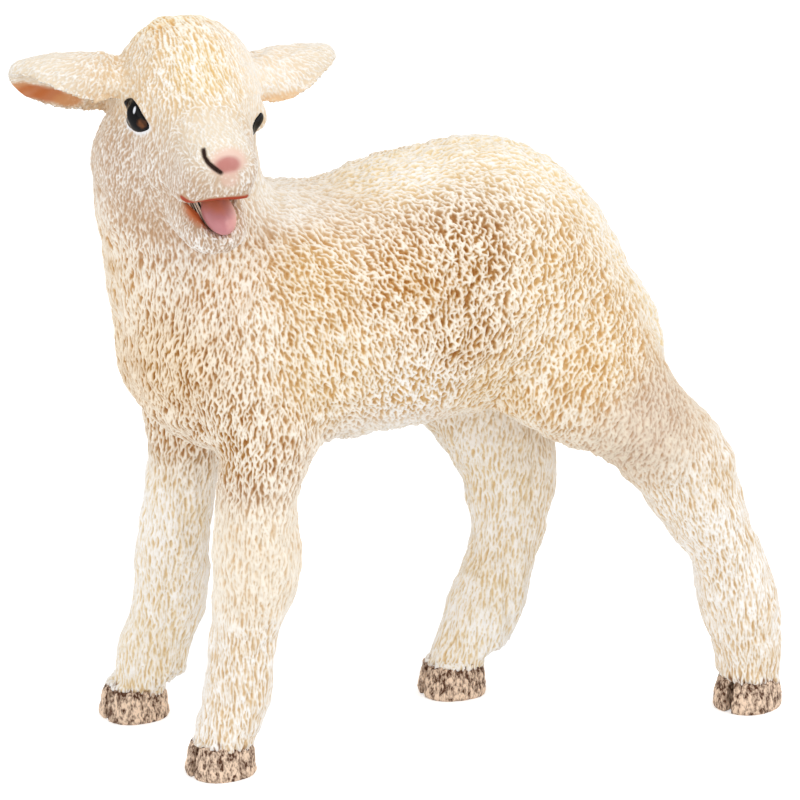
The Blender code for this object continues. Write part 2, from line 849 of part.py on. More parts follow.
def make_eye(side):
    """A prism of the eye's outline with a domed front, which is part of a ball."""
    ball = head_depth * eye_ball_share
    eye = eye_prism(side, 0.0, ball)
    out = eye_turn(side) @ Vector((1, 0, 0))
    bm = bmesh.new()
    centre = on_head(eye_place_shares, side) + out * (head_length * eye_rise_share - ball / 2)
    add_ellipsoid(bm, centre, (ball / 2, ball / 2, ball / 2), None, 3)
    return combine(eye, new_object("ball", bm), "INTERSECT")


def nose_region(growth):
    turn = head_frame().to_3x3().to_4x4()
    bm = bmesh.new()
    halves = (
        head_width * nose_width_share / 2 + growth,
        head_length * nose_depth_share / 2 + growth,
        head_depth * nose_height_share / 2 + growth,
    )
    add_ellipsoid(bm, on_head(nose_place_shares), halves, turn)
    return new_object("nose_region", bm)


def make_nostril(side):
    """A slit that leans outward at its top, cut into the nose."""
    slant = Matrix.Rotation(side * math.radians(nostril_slant_deg), 4, "Y")
    turn = head_frame().to_3x3().to_4x4() @ slant
    bm = bmesh.new()
    tall = head_depth * nostril_height_share / 2
    halves = (head_width * nostril_width_share / 2, tall, tall)
    add_ellipsoid(bm, on_head(nostril_place_shares, side), halves, turn, 2)
    return new_object("nostril", bm)


def make_mouth():
    """A cutter with a level lip line above and a rounded floor below, which narrows to the throat."""
    frame = head_frame(mouth_tilt_deg)
    ahead, across, up = (frame.to_3x3() @ v for v in (place(1, 0, 0), place(0, 1, 0), place(0, 0, 1)))
    lips = on_head(mouth_place_shares, 1, frame)
    gape = head_depth * mouth_gape_share
    arch = head_depth * mouth_arch_share
    half_width = head_width * mouth_width_share / 2
    rings = []
    for back, wide, drop, lower in faired(mouth_shares, 2):
        centre = lips - ahead * (head_length * mouth_depth_share * back) - up * (gape * lower)
        ring = []
        for i in range(24):
            angle = 2 * math.pi * i / 24
            c, s = math.cos(angle), math.sin(angle)
            tall = arch if s > 0 else gape * drop
            ring.append(centre + across * (half_width * wide * c) + up * (tall * s))
        rings.append(ring)
    bm = bmesh.new()
    loft(bm, rings)
    return new_object("mouth", bm)


def make_tongue():
    frame = jaw_frame()
    droop = Matrix.Rotation(math.radians(tongue_droop_deg), 4, "X")
    bm = bmesh.new()
    halves = (
        head_width * tongue_width_share / 2,
        head_length * tongue_length_share / 2,
        head_depth * tongue_thickness_share / 2,
    )
    centre = on_head(tongue_place_shares, 1, frame)
    add_ellipsoid(bm, centre, halves, frame.to_3x3().to_4x4() @ droop)
    return new_object("tongue", bm)


def thinned(obj, faces):
    thin = obj.modifiers.new("Thin", "DECIMATE")
    thin.ratio = min(1.0, faces / sum(len(p.vertices) - 2 for p in obj.data.polygons))
    return baked(obj)


def make_head_and_nose():
    """The head casting, and the nose pad that is cut out of the same skin."""
    bm = bmesh.new()
    add_trunk_lump(bm)
    add_neck_lump(bm)
    add_head_lumps(bm)
    head = sculpt("head", bm, head_voxel, 3 * head_faces)
    reach = figure_reach()
    point, up = neck_seam()
    combine(head, slab(point - up * overrun, -up, (reach, reach, reach)), "DIFFERENCE")
    thinned(head, head_faces)
    combine(head, slab(point + up * (seam_gap / 2), -up, (reach, reach, reach)), "DIFFERENCE")
    nose = bpy.data.objects.new("nose", head.data.copy())
    bpy.context.scene.collection.objects.link(nose)
    combine(nose, nose_region(0.0), "INTERSECT")
    for side in (1, -1):
        combine(nose, make_nostril(side), "DIFFERENCE")
    combine(head, plug(point, -up, neck_plug_width, neck_plug_length), "UNION")
    cutters = [nose_region(inlay_gap), make_mouth(), swollen(make_tongue(), inlay_gap)]
    for side in (1, -1):
        cutters.append(eye_prism(side, inlay_gap, head_width))
        cutters.append(swollen(make_ear(side), inlay_gap))
    cut_away(head, cutters)
    paint(nose, "nose_pink", nose_colour, 0.45)
    return paint(head, "head_wool", face_colour, 0.6), nose


def stand_over_origin(pieces):
    """Moves the whole figure level so that the middle of its box is over the origin."""
    bpy.context.view_layer.update()
    corners = [obj.matrix_world @ v.co for obj in pieces for v in obj.data.vertices]
    low = Vector(min(c[i] for c in corners) for i in range(3))
    high = Vector(max(c[i] for c in corners) for i in range(3))
    middle = (low + high) / 2
    figure = bpy.data.objects.new("figure", None)
    bpy.context.scene.collection.objects.link(figure)
    for obj in pieces:
        obj.parent = figure
    figure.location = (-middle.x, -middle.y, 0)


def main():
    clear_scene()
    pieces = [make_trunk(), *make_head_and_nose()]
    pieces.append(paint(make_tail(), "tail_wool", wool_colour, 0.62))
    for side in (1, -1):
        pieces.append(paint(make_ear(side), "ear_wool", face_colour, 0.6))
        pieces.append(paint(make_eye(side), "eye_black", eye_colour, 0.12))
    for leg in LEGS:
        pieces.append(make_leg(leg))
        pieces.append(make_hoof(leg))
    pieces.append(paint(make_tongue(), "tongue_pink", tongue_colour, 0.35))
    stand_over_origin(pieces)


main()
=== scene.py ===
import math

import bmesh
import bpy
import numpy as np
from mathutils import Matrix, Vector, noise
from mathutils.bvhtree import BVHTree


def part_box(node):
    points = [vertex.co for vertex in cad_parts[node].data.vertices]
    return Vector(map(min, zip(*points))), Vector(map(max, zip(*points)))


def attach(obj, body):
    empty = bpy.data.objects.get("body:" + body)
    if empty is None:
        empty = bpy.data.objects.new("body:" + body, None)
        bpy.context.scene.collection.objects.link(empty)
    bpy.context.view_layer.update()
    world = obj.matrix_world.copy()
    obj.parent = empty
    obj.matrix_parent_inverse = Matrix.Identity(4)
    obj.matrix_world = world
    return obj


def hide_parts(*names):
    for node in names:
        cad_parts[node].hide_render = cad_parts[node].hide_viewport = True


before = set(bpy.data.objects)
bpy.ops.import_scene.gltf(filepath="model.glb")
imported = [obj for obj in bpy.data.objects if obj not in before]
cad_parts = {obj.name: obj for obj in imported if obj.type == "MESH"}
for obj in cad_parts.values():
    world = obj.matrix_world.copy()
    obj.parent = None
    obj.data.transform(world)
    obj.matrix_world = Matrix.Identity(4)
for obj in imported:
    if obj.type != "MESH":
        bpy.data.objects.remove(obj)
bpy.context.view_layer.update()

# The moulded body skin
# The real lamb's trunk, head, ears, tail and legs are soft PVC castings whose wool runs on over every
# joint, so one skin is drawn over all of them and then parted again where the castings meet. Meshes are
# made in millimetres and finished in metres, which the paints read too.
MILLIMETRES = 1000.0
CASTINGS = ("trunk", "head", "nose", "ear_left", "ear_right", "tail",
            "foreleg_left", "foreleg_right", "hindleg_left", "hindleg_right")
HOOVES = ("hoof_foreleg_left", "hoof_foreleg_right", "hoof_hindleg_left", "hoof_hindleg_right")
EYES = ("eye_left", "eye_right")
SKIN_VOXEL = 0.158
SEAM_CLOSING = 0.20
WELD_DISTANCE = 0.002
FOOT_NARROWING = 0.10
FOOT_NARROW_TOP, FOOT_NARROW_FADE = 6.0, 3.0
FOOT_AXIS_BACK = 1.8
FOOT_REACH = 5.5


def cad_copy(names, growth=0.0):
    """One welded mesh in millimetres of the CAD solids, each grown along its normals."""
    work = bmesh.new()
    for name in names:
        part = bmesh.new()
        part.from_mesh(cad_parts[name].data)
        bmesh.ops.scale(part, vec=Vector((MILLIMETRES,) * 3), verts=part.verts)
        bmesh.ops.remove_doubles(part, verts=part.verts, dist=WELD_DISTANCE)
        part.normal_update()
        for v in part.verts:
            v.co += v.normal * growth
        mesh = bpy.data.meshes.new("grown")
        part.to_mesh(mesh)
        part.free()
        work.from_mesh(mesh)
        bpy.data.meshes.remove(mesh)
    return work


def placed(name, data):
    """A new object of the scene that shows this mesh, lamp or camera."""
    made = bpy.data.objects.new(name, data)
    bpy.context.scene.collection.objects.link(made)
    return made


def object_from(work, name):
    mesh = bpy.data.meshes.new(name)
    work.to_mesh(mesh)
    work.free()
    return placed(name, mesh)


def evaluated_mesh(obj):
    """The object's mesh with its modifiers applied, as a new plain mesh."""
    bpy.context.view_layer.update()
    graph = bpy.context.evaluated_depsgraph_get()
    return bpy.data.meshes.new_from_object(obj.evaluated_get(graph), preserve_all_data_layers=True,
                                           depsgraph=graph)


def apply_modifiers(obj):
    mesh = evaluated_mesh(obj)
    obj.modifiers.clear()
    old = obj.data
    obj.data = mesh
    bpy.data.meshes.remove(old)


def voxel_skin(work, name, voxel):
    """The outer skin of overlapping closed solids, without any inner cavity."""
    made = object_from(work, name)
    remesh = made.modifiers.new("skin", "REMESH")
    remesh.mode = "VOXEL"
    remesh.voxel_size = voxel
    apply_modifiers(made)
    return made


def patch_of(start, left, beside):
    """Takes out of the set left all that hangs together with the start, from one item to those beside it."""
    left.discard(start)
    patch, front = [start], [start]
    while front:
        for other in beside(front.pop()):
            if other in left:
                left.remove(other)
                patch.append(other)
                front.append(other)
    return patch


def keep_largest_patch(obj):
    """Deletes what the remesh left inside the skin or beside it."""
    work = bmesh.new()
    work.from_mesh(obj.data)
    left, largest = set(work.verts), []
    for start in work.verts:
        if start in left:
            patch = patch_of(start, left, lambda v: [edge.other_vert(v) for edge in v.link_edges])
            largest = max(largest, patch, key=len)
    kept = set(largest)
    bmesh.ops.delete(work, geom=[v for v in work.verts if v not in kept], context="VERTS")
    work.to_mesh(obj.data)
    work.free()


def numbers_of(items, key, width, kind=np.float64):
    """One row of numbers for each of a mesh's items, such as the place of each vertex."""
    values = np.empty(len(items) * width, dtype=kind)
    items.foreach_get(key, values)
    return values.reshape(-1, width) if width > 1 else values


def points_of(mesh):
    return numbers_of(mesh.vertices, "co", 3)


def normals_of(mesh):
    return numbers_of(mesh.vertex_normals, "vector", 3)


def move_points(mesh, values):
    mesh.vertices.foreach_set("co", np.ascontiguousarray(values, dtype=np.float32).ravel())
    mesh.update()


def neighbour_mean(values, pairs, counts):
    """The mean of each point's neighbours along the mesh's edges."""
    total = np.stack([np.bincount(pairs[:, 0], values[pairs[:, 1], k], len(values))
                      + np.bincount(pairs[:, 1], values[pairs[:, 0], k], len(values))
                      for k in range(values.shape[1])], axis=1)
    return total / counts[:, None]


def edge_pairs(mesh):
    pairs = numbers_of(mesh.edges, "vertices", 2, np.int32)
    counts = np.bincount(pairs.ravel(), minlength=len(mesh.vertices)).astype(float)
    return pairs, counts


def foot(hoof):
    """The low and high corners of a hoof, in millimetres."""
    return [np.array(corner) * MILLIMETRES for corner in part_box(hoof)]


def narrow_feet(spots):
    """Draws each hoof and the pastern over it in toward the heel, as the real ones are."""
    for low, high in map(foot, HOOVES):
        axis = (low + high)[:2] / 2.0 + (0.0, FOOT_AXIS_BACK)
        from_axis = spots[:, :2] - axis
        share = np.clip(FOOT_REACH - np.linalg.norm(from_axis, axis=1), 0.0, 1.0)
        share *= FOOT_NARROWING * np.clip((FOOT_NARROW_TOP - spots[:, 2]) / FOOT_NARROW_FADE, 0.0, 1.0)
        spots[:, :2] -= from_axis * share[:, None]
    return spots


skin = voxel_skin(cad_copy(CASTINGS + HOOVES + EYES, SEAM_CLOSING), "skin", SKIN_VOXEL)
keep_largest_patch(skin)
move_points(skin.data, narrow_feet(points_of(skin.data) - normals_of(skin.data) * SEAM_CLOSING))

# The combing, thickness and paint of the coat
# The sculptor combs the wool in short crossing locks and the painter floods a thin tan wash into the
# hollows, then wipes the crests. Each row is one place on the body with its combing and its two paints.
PAINTS = {
    "straw": (238, 210, 158), "sand": (200, 150, 84), "tan": (178, 118, 50), "deep tan": (150, 90, 26),
    "stone": (194, 162, 134), "pale": (224, 194, 154), "shell": (234, 219, 196), "chalk": (253, 250, 246),
    "ivory": (254, 250, 234), "cream": (252, 243, 228), "buff": (248, 231, 206), "white": (250, 250, 252),
    "oat": (210, 174, 126), "fawn painted light": (222, 192, 142), "honey": (226, 188, 120), "gold": (218, 162, 84),
    "pink": (196, 130, 122), "rose": (236, 196, 182), "lip red": (168, 60, 28), "orange": (200, 106, 58),
    "peach": (232, 190, 142), "ear hollow brown and shade": (190, 106, 54), "ear rim rust and shade": (206, 142, 92),
    "nostril brown": (48, 26, 16), "hoof brown": (118, 76, 44),
}
COAT_ROWS = (
    # forward, left, up, combing (forward, left, up), thickness, length, straying, hollow, crest, both sides
    (0.0, 0.0, 38.5, (-0.6, 0.4, -0.3), 0.90, 0.8, 1.0, "straw", "chalk", True),
    # The withers take a paler hollow paint, painted light against the shade of the head.
    (9.0, 2.0, 37.5, (-0.7, 0.4, -0.5), 0.80, 0.8, 0.8, "shell", "chalk", True),
    (-9.0, 1.0, 37.5, (-0.8, 0.3, -0.4), 0.90, 0.8, 1.0, "straw", "chalk", True),
    (-16.0, 2.0, 34.0, (-0.6, 0.2, -0.8), 0.90, 0.9, 0.9, "straw", "chalk", True),
    (-20.0, 2.0, 28.0, (-0.3, 0.2, -1.0), 0.85, 1.0, 0.7, "straw", "chalk", True),
    (8.0, 5.5, 33.0, (-0.5, 0.4, -1.0), 0.95, 0.9, 0.9, "sand", "cream", True),
    (7.0, 6.5, 27.0, (-0.3, 0.3, -1.0), 0.95, 1.1, 0.6, "sand", "cream", True),
    (2.0, 7.0, 32.0, (-0.6, 0.4, -0.9), 1.05, 0.9, 1.0, "tan", "cream", True),
    (-2.0, 6.5, 33.0, (0.2, 0.4, -1.0), 1.10, 0.9, 1.1, "deep tan", "cream", True),
    (-1.0, 7.5, 28.0, (0.35, 0.2, -1.0), 1.05, 1.1, 0.9, "deep tan", "cream", True),
    (1.0, 7.5, 24.5, (-0.3, 0.0, -1.0), 0.95, 1.0, 0.7, "sand", "chalk", True),
    (-4.0, 6.5, 24.0, (0.3, 0.0, -1.0), 0.95, 1.1, 0.6, "sand", "cream", True),
    # The belly takes a paler hollow paint, painted light against the shade under the body.
    (2.0, 4.0, 20.0, (-0.4, -0.4, -0.6), 0.85, 1.0, 0.6, "shell", "chalk", True),
    (-8.0, 7.0, 31.0, (0.3, 0.3, -1.0), 1.00, 0.9, 1.0, "sand", "cream", True),
    (-11.0, 7.0, 26.0, (0.45, 0.1, -1.0), 0.95, 1.0, 0.7, "sand", "cream", True),
    (-14.0, 6.0, 21.0, (0.4, 0.0, -1.0), 0.80, 1.0, 0.5, "stone", "shell", True),
    (16.5, 3.0, 27.5, (0.35, 0.0, -1.0), 1.00, 1.35, 0.5, "deep tan", "buff", True),
    (13.0, 5.0, 22.0, (0.2, 0.0, -1.0), 0.95, 1.2, 0.55, "deep tan", "cream", True),
    (18.5, -1.0, 32.0, (0.35, 0.1, -1.0), 1.05, 1.7, 0.45, "tan", "cream", False),
    (13.0, 3.5, 33.5, (0.3, 0.1, -1.0), 1.00, 1.75, 0.45, "tan", "cream", False),
    (17.5, -5.0, 33.0, (0.3, -0.1, -1.0), 1.05, 1.6, 0.45, "tan", "buff", False),
    (13.5, -7.0, 33.5, (-0.1, -0.2, -1.0), 1.00, 1.1, 0.7, "tan", "cream", False),
    (12.5, 5.0, 15.0, (0.05, 0.0, -1.0), 0.80, 1.7, 0.4, "pale", "cream", False),
    (12.5, 4.0, 6.0, (0.0, 0.0, -1.0), 0.77, 1.8, 0.38, "oat", "chalk", False),
    # The far legs' hollows take a paler fawn than the near legs: painted light that makes up for the shade
    # the body casts on them.
    (13.5, -7.0, 15.0, (0.05, 0.0, -1.0), 0.80, 1.8, 0.4, "fawn painted light", "chalk", False),
    (14.5, -8.0, 6.0, (0.1, 0.0, -1.0), 0.77, 1.8, 0.38, "fawn painted light", "chalk", False),
    (-18.0, 5.0, 15.0, (-0.3, 0.0, -1.0), 0.79, 1.7, 0.4, "oat", "chalk", False),
    (-23.0, 5.0, 6.0, (-0.1, 0.0, -1.0), 0.77, 1.8, 0.38, "oat", "chalk", False),
    # The far hind leg's hollows are painted paler fawn too, as painted light against the body's shade.
    (-8.0, -6.0, 15.0, (0.1, 0.0, -1.0), 0.79, 1.7, 0.4, "fawn painted light", "chalk", False),
    (-5.5, -5.0, 6.0, (0.2, 0.0, -1.0), 0.77, 1.8, 0.38, "fawn painted light", "chalk", False),
    (15.0, 0.5, 49.0, (0.0, 1.0, -0.4), 0.74, 1.9, 0.25, "gold", "ivory", False),
    (15.0, 6.0, 47.0, (-0.2, 1.0, -1.0), 0.66, 1.6, 0.25, "honey", "chalk", False),
    (18.5, 3.5, 45.5, (0.3, 0.5, -1.0), 0.56, 0.7, 0.5, "pale", "chalk", False),
    (11.5, 3.5, 45.5, (-0.3, 0.5, -1.0), 0.50, 0.9, 0.4, "buff", "chalk", False),
    (20.0, 4.0, 41.0, (0.5, 0.0, -1.0), 0.60, 0.8, 0.5, "stone", "chalk", False),
    (9.5, 4.0, 41.0, (-0.5, 0.0, -1.0), 0.56, 0.8, 0.6, "pale", "chalk", False),
    (15.5, 9.5, 43.6, (0.0, -0.5, 1.0), 0.46, 0.6, 0.6, "shell", "chalk", False),
    (17.0, 8.5, 39.6, (0.4, 0.0, -1.0), 0.56, 0.7, 0.4, "stone", "chalk", False),
    (13.0, 8.5, 39.6, (-0.4, 0.0, -1.0), 0.56, 0.7, 0.4, "stone", "chalk", False),
    (15.0, 7.0, 36.0, (0.0, 0.2, -1.0), 0.58, 0.8, 0.5, "stone", "chalk", False),
    (15.0, -6.5, 43.0, (0.0, -0.6, -1.0), 0.90, 1.0, 0.8, "sand", "cream", False),
    (24.0, 0.0, 45.5, (1.0, 0.0, -0.3), 0.46, 0.7, 0.5, "shell", "chalk", False),
    (4.5, 0.5, 45.0, (-1.0, 0.0, -0.2), 0.46, 0.7, 0.5, "shell", "chalk", False),
    (-17.0, -1.0, 25.0, (-0.1, 0.0, -1.0), 0.85, 1.0, 0.7, "straw", "chalk", False),
)
COAT_FALLOFF = 4.0
COAT_SOFTNESS = 2.0
SHORTEST_COMB = 1e-6
SMOOTHING_ROUNDS = 10
SMOOTHING_LEAST, SMOOTHING_MOST = 0.3, 0.8
SPOT_EDGE, SPOT_FADE = 1.22, 0.44
SPOTS = (
    # forward, left, up, half sizes (forward, left, up), paint, strength, how much of the coat stays
    ((15.20, 10.60, 42.00), (1.20, 1.4, 0.85), "rose", 0.7, 0.10),
    ((15.30, 10.65, 41.84), (0.80, 0.9, 0.55), "pink", 1.0, 0.00),
    ((15.10, 10.50, 40.90), (0.6, 0.8, 0.55), "rose", 0.5, 0.40),
    ((15.50, 6.60, 38.30), (1.25, 2.5, 1.20), "orange", 1.0, 0.00),
    # The right ear's inner lower rim is brown, partly its own wash and partly painted shade along the band
    # that faces down.
    ((24.20, -2.35, 44.45), (0.9, 0.45, 0.45), "ear rim rust and shade", 0.9, 0.15),
    ((23.40, -2.35, 44.15), (1.1, 0.45, 0.50), "ear hollow brown and shade", 0.9, 0.10),
    ((22.40, -2.20, 43.85), (1.2, 0.45, 0.50), "ear hollow brown and shade", 0.9, 0.10),
    ((21.20, -2.00, 43.50), (1.0, 0.50, 0.45), "ear rim rust and shade", 0.9, 0.20),
    ((8.60, 3.50, 43.60), (2.2, 0.9, 0.50), "peach", 0.7, 0.60),
)


def linear(display):
    """A colour as a painter's chip shows it, as the linear values that a shader takes."""
    shown = np.array(display, dtype=float) / 255.0
    return np.where(shown <= 0.04045, shown / 12.92, ((shown + 0.055) / 1.055) ** 2.4)


def coat_table():
    """The rows' places, combing, build and two paints, with a mirrored copy of each row for both sides."""
    places, combs, builds, hollows, crests = [], [], [], [], []
    for forward, left, up, comb, thickness, length, straying, hollow, crest, both in COAT_ROWS:
        for side in ((1.0, -1.0) if both else (1.0,)):
            places.append((left * side, -forward, up))
            combs.append((comb[1] * side, -comb[0], comb[2]))
            builds.append((thickness, length, straying))
            hollows.append(linear(PAINTS[hollow]))
            crests.append(linear(PAINTS[crest]))
    combs = np.array(combs)
    combs /= np.linalg.norm(combs, axis=1)[:, None]
    return np.array(places), combs, np.array(builds), np.array(hollows), np.array(crests)


def store(mesh, name, kind, values, domain="POINT"):
    """Writes one layer of values on the mesh."""
    field = mesh.attributes.get(name) or mesh.attributes.new(name, kind, domain)
    key = {"FLOAT": "value", "INT": "value", "FLOAT_VECTOR": "vector", "FLOAT_COLOR": "color"}[kind]
    kept = np.int32 if kind == "INT" else np.float32
    field.data.foreach_set(key, np.ascontiguousarray(values, dtype=kept).ravel())


def read(mesh, name, width, kind=np.float32):
    """One layer of values of the mesh, written there by store."""
    key = {1: "value", 3: "vector", 4: "color"}[width]
    return numbers_of(mesh.attributes[name].data, key, width, kind)


def with_alpha(colours):
    return np.concatenate([colours, np.ones((len(colours), 1))], axis=1)


def comb_and_paint(mesh):
    """Blends the rows over the skin, the nearest ones most, and lays the combing flat on it."""
    places, combs, builds, hollows, crests = coat_table()
    spots, facing = points_of(mesh), normals_of(mesh)
    shares = np.zeros((len(spots), len(places)))
    for i, place in enumerate(places):
        reach = ((spots - place) ** 2).sum(axis=1)
        shares[:, i] = 1.0 / (reach + COAT_SOFTNESS) ** (COAT_FALLOFF / 2.0)
    shares /= shares.sum(axis=1)[:, None]
    flow = shares @ combs
    flow -= facing * (flow * facing).sum(axis=1)[:, None]
    flow /= np.maximum(np.linalg.norm(flow, axis=1), SHORTEST_COMB)[:, None]
    store(mesh, "comb", "FLOAT_VECTOR", flow)
    for k, label in enumerate(("thickness", "length", "straying")):
        store(mesh, label, "FLOAT", shares @ builds[:, k])
    store(mesh, "hollow_paint", "FLOAT_COLOR", with_alpha(shares @ hollows))
    store(mesh, "crest_paint", "FLOAT_COLOR", with_alpha(shares @ crests))


def even_out(mesh, rounds, strength):
    """Smooths the mesh so that no CAD facet shows, by one strength or by one for each point."""
    pairs, counts = edge_pairs(mesh)
    spots = points_of(mesh)
    for _ in range(rounds):
        spots += (neighbour_mean(spots, pairs, counts) - spots) * np.reshape(strength, (-1, 1))
    move_points(mesh, spots)


def as_world(place):
    """Forward, left and up as the scene's own x, y and z."""
    return np.array((place[1], -place[0], place[2]))


def thin_coat(mesh, near, share):
    """Leaves only a share of the coat's thickness at these points."""
    thickness = read(mesh, "thickness", 1)
    thickness[near] *= share
    store(mesh, "thickness", "FLOAT", thickness)


def paint_over(mesh, near, share, paint, layers=("hollow_paint", "crest_paint")):
    """Lays a share of one paint over what these points already have."""
    colour = np.append(linear(PAINTS[paint]), 1.0)
    for layer in layers:
        values = read(mesh, layer, 4)
        values[near] += (colour - values[near]) * share[:, None]
        store(mesh, layer, "FLOAT_COLOR", values)


def paint_spots(mesh):
    spots = points_of(mesh)
    for place, (forward, left, up), paint, strength, coat in SPOTS:
        away = np.sqrt((((spots - as_world(place)) / (left, forward, up)) ** 2).sum(axis=1))
        inside = np.clip((SPOT_EDGE - away) / SPOT_FADE, 0.0, 1.0)
        near = np.flatnonzero(inside)
        thin_coat(mesh, near, 1.0 - inside[near] * (1.0 - coat))
        paint_over(mesh, near, inside[near] * strength, paint)


# The bare rim round each eye
# The eyelids of the real casting are a smooth rim left white round the black paint, widest under the eye.
# The lid behind the far eye stands up a little, and the brow in front of it is hollow.
HEAD_MIDDLE = (14.93, 4.37, 43.34)
HEAD_ACROSS = (-0.994, 0.037, -0.102)
EYE_CENTRE = (18.85, 4.00, 43.72)
EYE_AXES = ((-0.42, 0.907, 0.0), (0.0, 0.0, 1.0), (0.907, 0.42, 0.0))
EYE_OUTLINE = ((-1.10, 0.60), (-0.75, 0.92), (-0.15, 0.98), (0.35, 0.80), (0.85, 0.22), (1.25, -0.52),
               (0.70, -0.90), (0.00, -0.95), (-0.60, -0.75), (-0.85, -0.38), (-0.64, -0.02), (-0.88, 0.26))
FAR_EYE_OUTLINE = ((0.34, 0.10), (0.50, 0.38), (0.72, 0.44), (1.00, 0.20), (1.24, -0.12), (1.46, -0.62),
                   (1.22, -1.00), (0.86, -0.95), (0.58, -0.62), (0.40, -0.25))
RIM_WIDTH = 0.04
RIM_UNDER = 0.24
RIM_UNDER_DEPTH = 0.8
RIM_FADE = 0.10
RIM_BARE = 0.22
RIM_NEAR = 3.0
LIDS = (
    # place (forward, left, up), reach, height
    ((10.45, 4.10, 42.75), 0.75, 0.22),
    ((12.90, 8.20, 43.05), 1.30, -0.24),
    ((11.40, 5.40, 42.80), 0.55, -0.12),
)


def shape_lids(mesh):
    """Raises the lid behind the far eye, and hollows the corner in front of it."""
    spots, facing = points_of(mesh), normals_of(mesh)
    for place, reach, height in LIDS:
        away = np.linalg.norm(spots - as_world(place), axis=1)
        spots += facing * (height * np.exp(-(away / reach) ** 2))[:, None]
    move_points(mesh, spots)


def across_head(place):
    """The same place on the other side of the turned head."""
    middle, across = as_world(HEAD_MIDDLE), as_world(HEAD_ACROSS)
    across /= np.linalg.norm(across)
    spot = np.asarray(place, dtype=float)
    return spot - 2.0 * np.dot(spot - middle, across) * across


def eye_frame(across):
    """Centre, long axis, upright axis and outward axis of an eye, in millimetres."""
    centre = as_world(EYE_CENTRE)
    axes = [as_world(a) for a in EYE_AXES]
    if across:
        ends = [across_head(centre + a) for a in axes]
        centre = across_head(centre)
        axes = [end - centre for end in ends]
    return centre, axes


def rim_eye(mesh, across):
    """Bares and whitens the skin round one eye's outline, and most under it."""
    centre, (along, up, _) = eye_frame(across)
    spots = points_of(mesh)
    near = np.flatnonzero(np.linalg.norm(spots - centre, axis=1) < RIM_NEAR)
    from_eye = spots[near] - centre
    flat = np.stack([from_eye @ along, from_eye @ up, np.zeros(len(near))], axis=1)
    outline = FAR_EYE_OUTLINE if across else EYE_OUTLINE
    outline = [np.array((a, u, 0.0)) for a, u in outline + outline[:1]]
    away = off_line(flat, outline)
    inside = np.zeros(len(near), dtype=bool)
    for a, b in zip(outline[:-1], outline[1:]):
        crosses = (a[1] > flat[:, 1]) != (b[1] > flat[:, 1])
        at = a[0] + (flat[:, 1] - a[1]) / (b[1] - a[1]) * (b[0] - a[0])
        inside ^= crosses & (flat[:, 0] < at)
    away = np.where(inside, 0.0, away)
    under = np.clip(-flat[:, 1] / RIM_UNDER_DEPTH, 0.0, 1.0)
    share = np.clip((RIM_WIDTH + RIM_UNDER * under - away) / RIM_FADE, 0.0, 1.0)
    thin_coat(mesh, near, np.clip(away / RIM_BARE, 0.0, 1.0))
    paint_over(mesh, near, share, "white")


def off_line(spots, line):
    """Each spot's distance from a bent line."""
    nearest = np.full(len(spots), np.inf)
    for a, b in zip(line[:-1], line[1:]):
        run = b - a
        share = np.clip(((spots - a) @ run) / (run @ run), 0.0, 1.0)
        nearest = np.minimum(nearest, np.linalg.norm(spots - (a + share[:, None] * run), axis=1))
    return nearest


# The bare lines of the face, and the hems and cuffs of the legs
# The nostrils and the lip are left free of wool for their paint. The hair of each leg ends in a ragged hem
# that hangs over the hoof, and the hoof's brown is washed up into the hollows of the hair just over it.
NOSTRIL = ((16.69, 10.06, 42.84), (16.70, 10.34, 42.41), (16.48, 10.52, 41.99), (16.10, 10.58, 41.62),
           (15.72, 10.60, 41.30))
NOSTRIL_FAR_SHIFT = (-0.30, -0.60, 0.0)
LIP_LINE = ((17.65, 8.78, 39.44), (17.39, 9.21, 39.24), (17.04, 9.50, 39.14), (16.60, 9.73, 39.27),
            (16.22, 9.91, 39.38), (15.74, 10.02, 39.41), (15.11, 10.08, 39.43), (14.30, 10.01, 39.37),
            (13.70, 9.75, 39.33))
NOSTRIL_NEAR = [as_world(p) for p in NOSTRIL]
NOSTRIL_FAR = [across_head(p) + as_world(NOSTRIL_FAR_SHIFT) for p in NOSTRIL_NEAR[2:]]
LIP = [as_world(p) for p in LIP_LINE]
BARE_LINE = 0.10
BARE_LIP = 0.26
BARE_EDGE = 0.18
LINE_REACH = 1.0
CUFF_RISE = 0.75
CUFF_HEIGHT_SHARE = 0.45
CUFF_FADE = 0.3
CUFF_GRAIN = 2.2
GRAIN_DRAW = 0.3
HOOF_SLOPE = 0.125
HEM_OVERLAP = 0.50
HEM_TUCK = 0.24
HEM_FADE = 0.40
HEM_RAGGED = 0.45
HEM_GRAIN = 3.2
HEM_ASIDE, HEM_ABOVE = 0.8, 1.5


def by_line(spots, line):
    """Which spots lie in the box round a bent line."""
    low, high = np.min(line, axis=0) - LINE_REACH, np.max(line, axis=0) + LINE_REACH
    return np.flatnonzero(((spots > low) & (spots < high)).all(axis=1))


def bare_line(mesh, line, bare):
    spots = points_of(mesh)
    near = by_line(spots, line)
    thin_coat(mesh, near, np.clip((off_line(spots[near], line) - bare) / BARE_EDGE, 0.0, 1.0))


def over_hem(spots, low, high):
    """Which spots are by this foot, and their height over the line where its hair ends."""
    forward = (low[1] + high[1]) / 2.0 - spots[:, 1]
    middle = high[2] - HOOF_SLOPE * (high[1] - low[1]) / 2.0 - HEM_OVERLAP
    beside = ((spots[:, :2] > low[:2] - HEM_ASIDE) & (spots[:, :2] < high[:2] + HEM_ASIDE)).all(axis=1)
    return beside & (spots[:, 2] < high[2] + HEM_ABOVE), spots[:, 2] - middle - HOOF_SLOPE * forward


def uneven_round(spots, grain):
    """Noise that runs on down each lock and changes from one lock to the next."""
    return np.array([noise.noise(Vector((x, y, z * GRAIN_DRAW)) * grain) for x, y, z in spots])


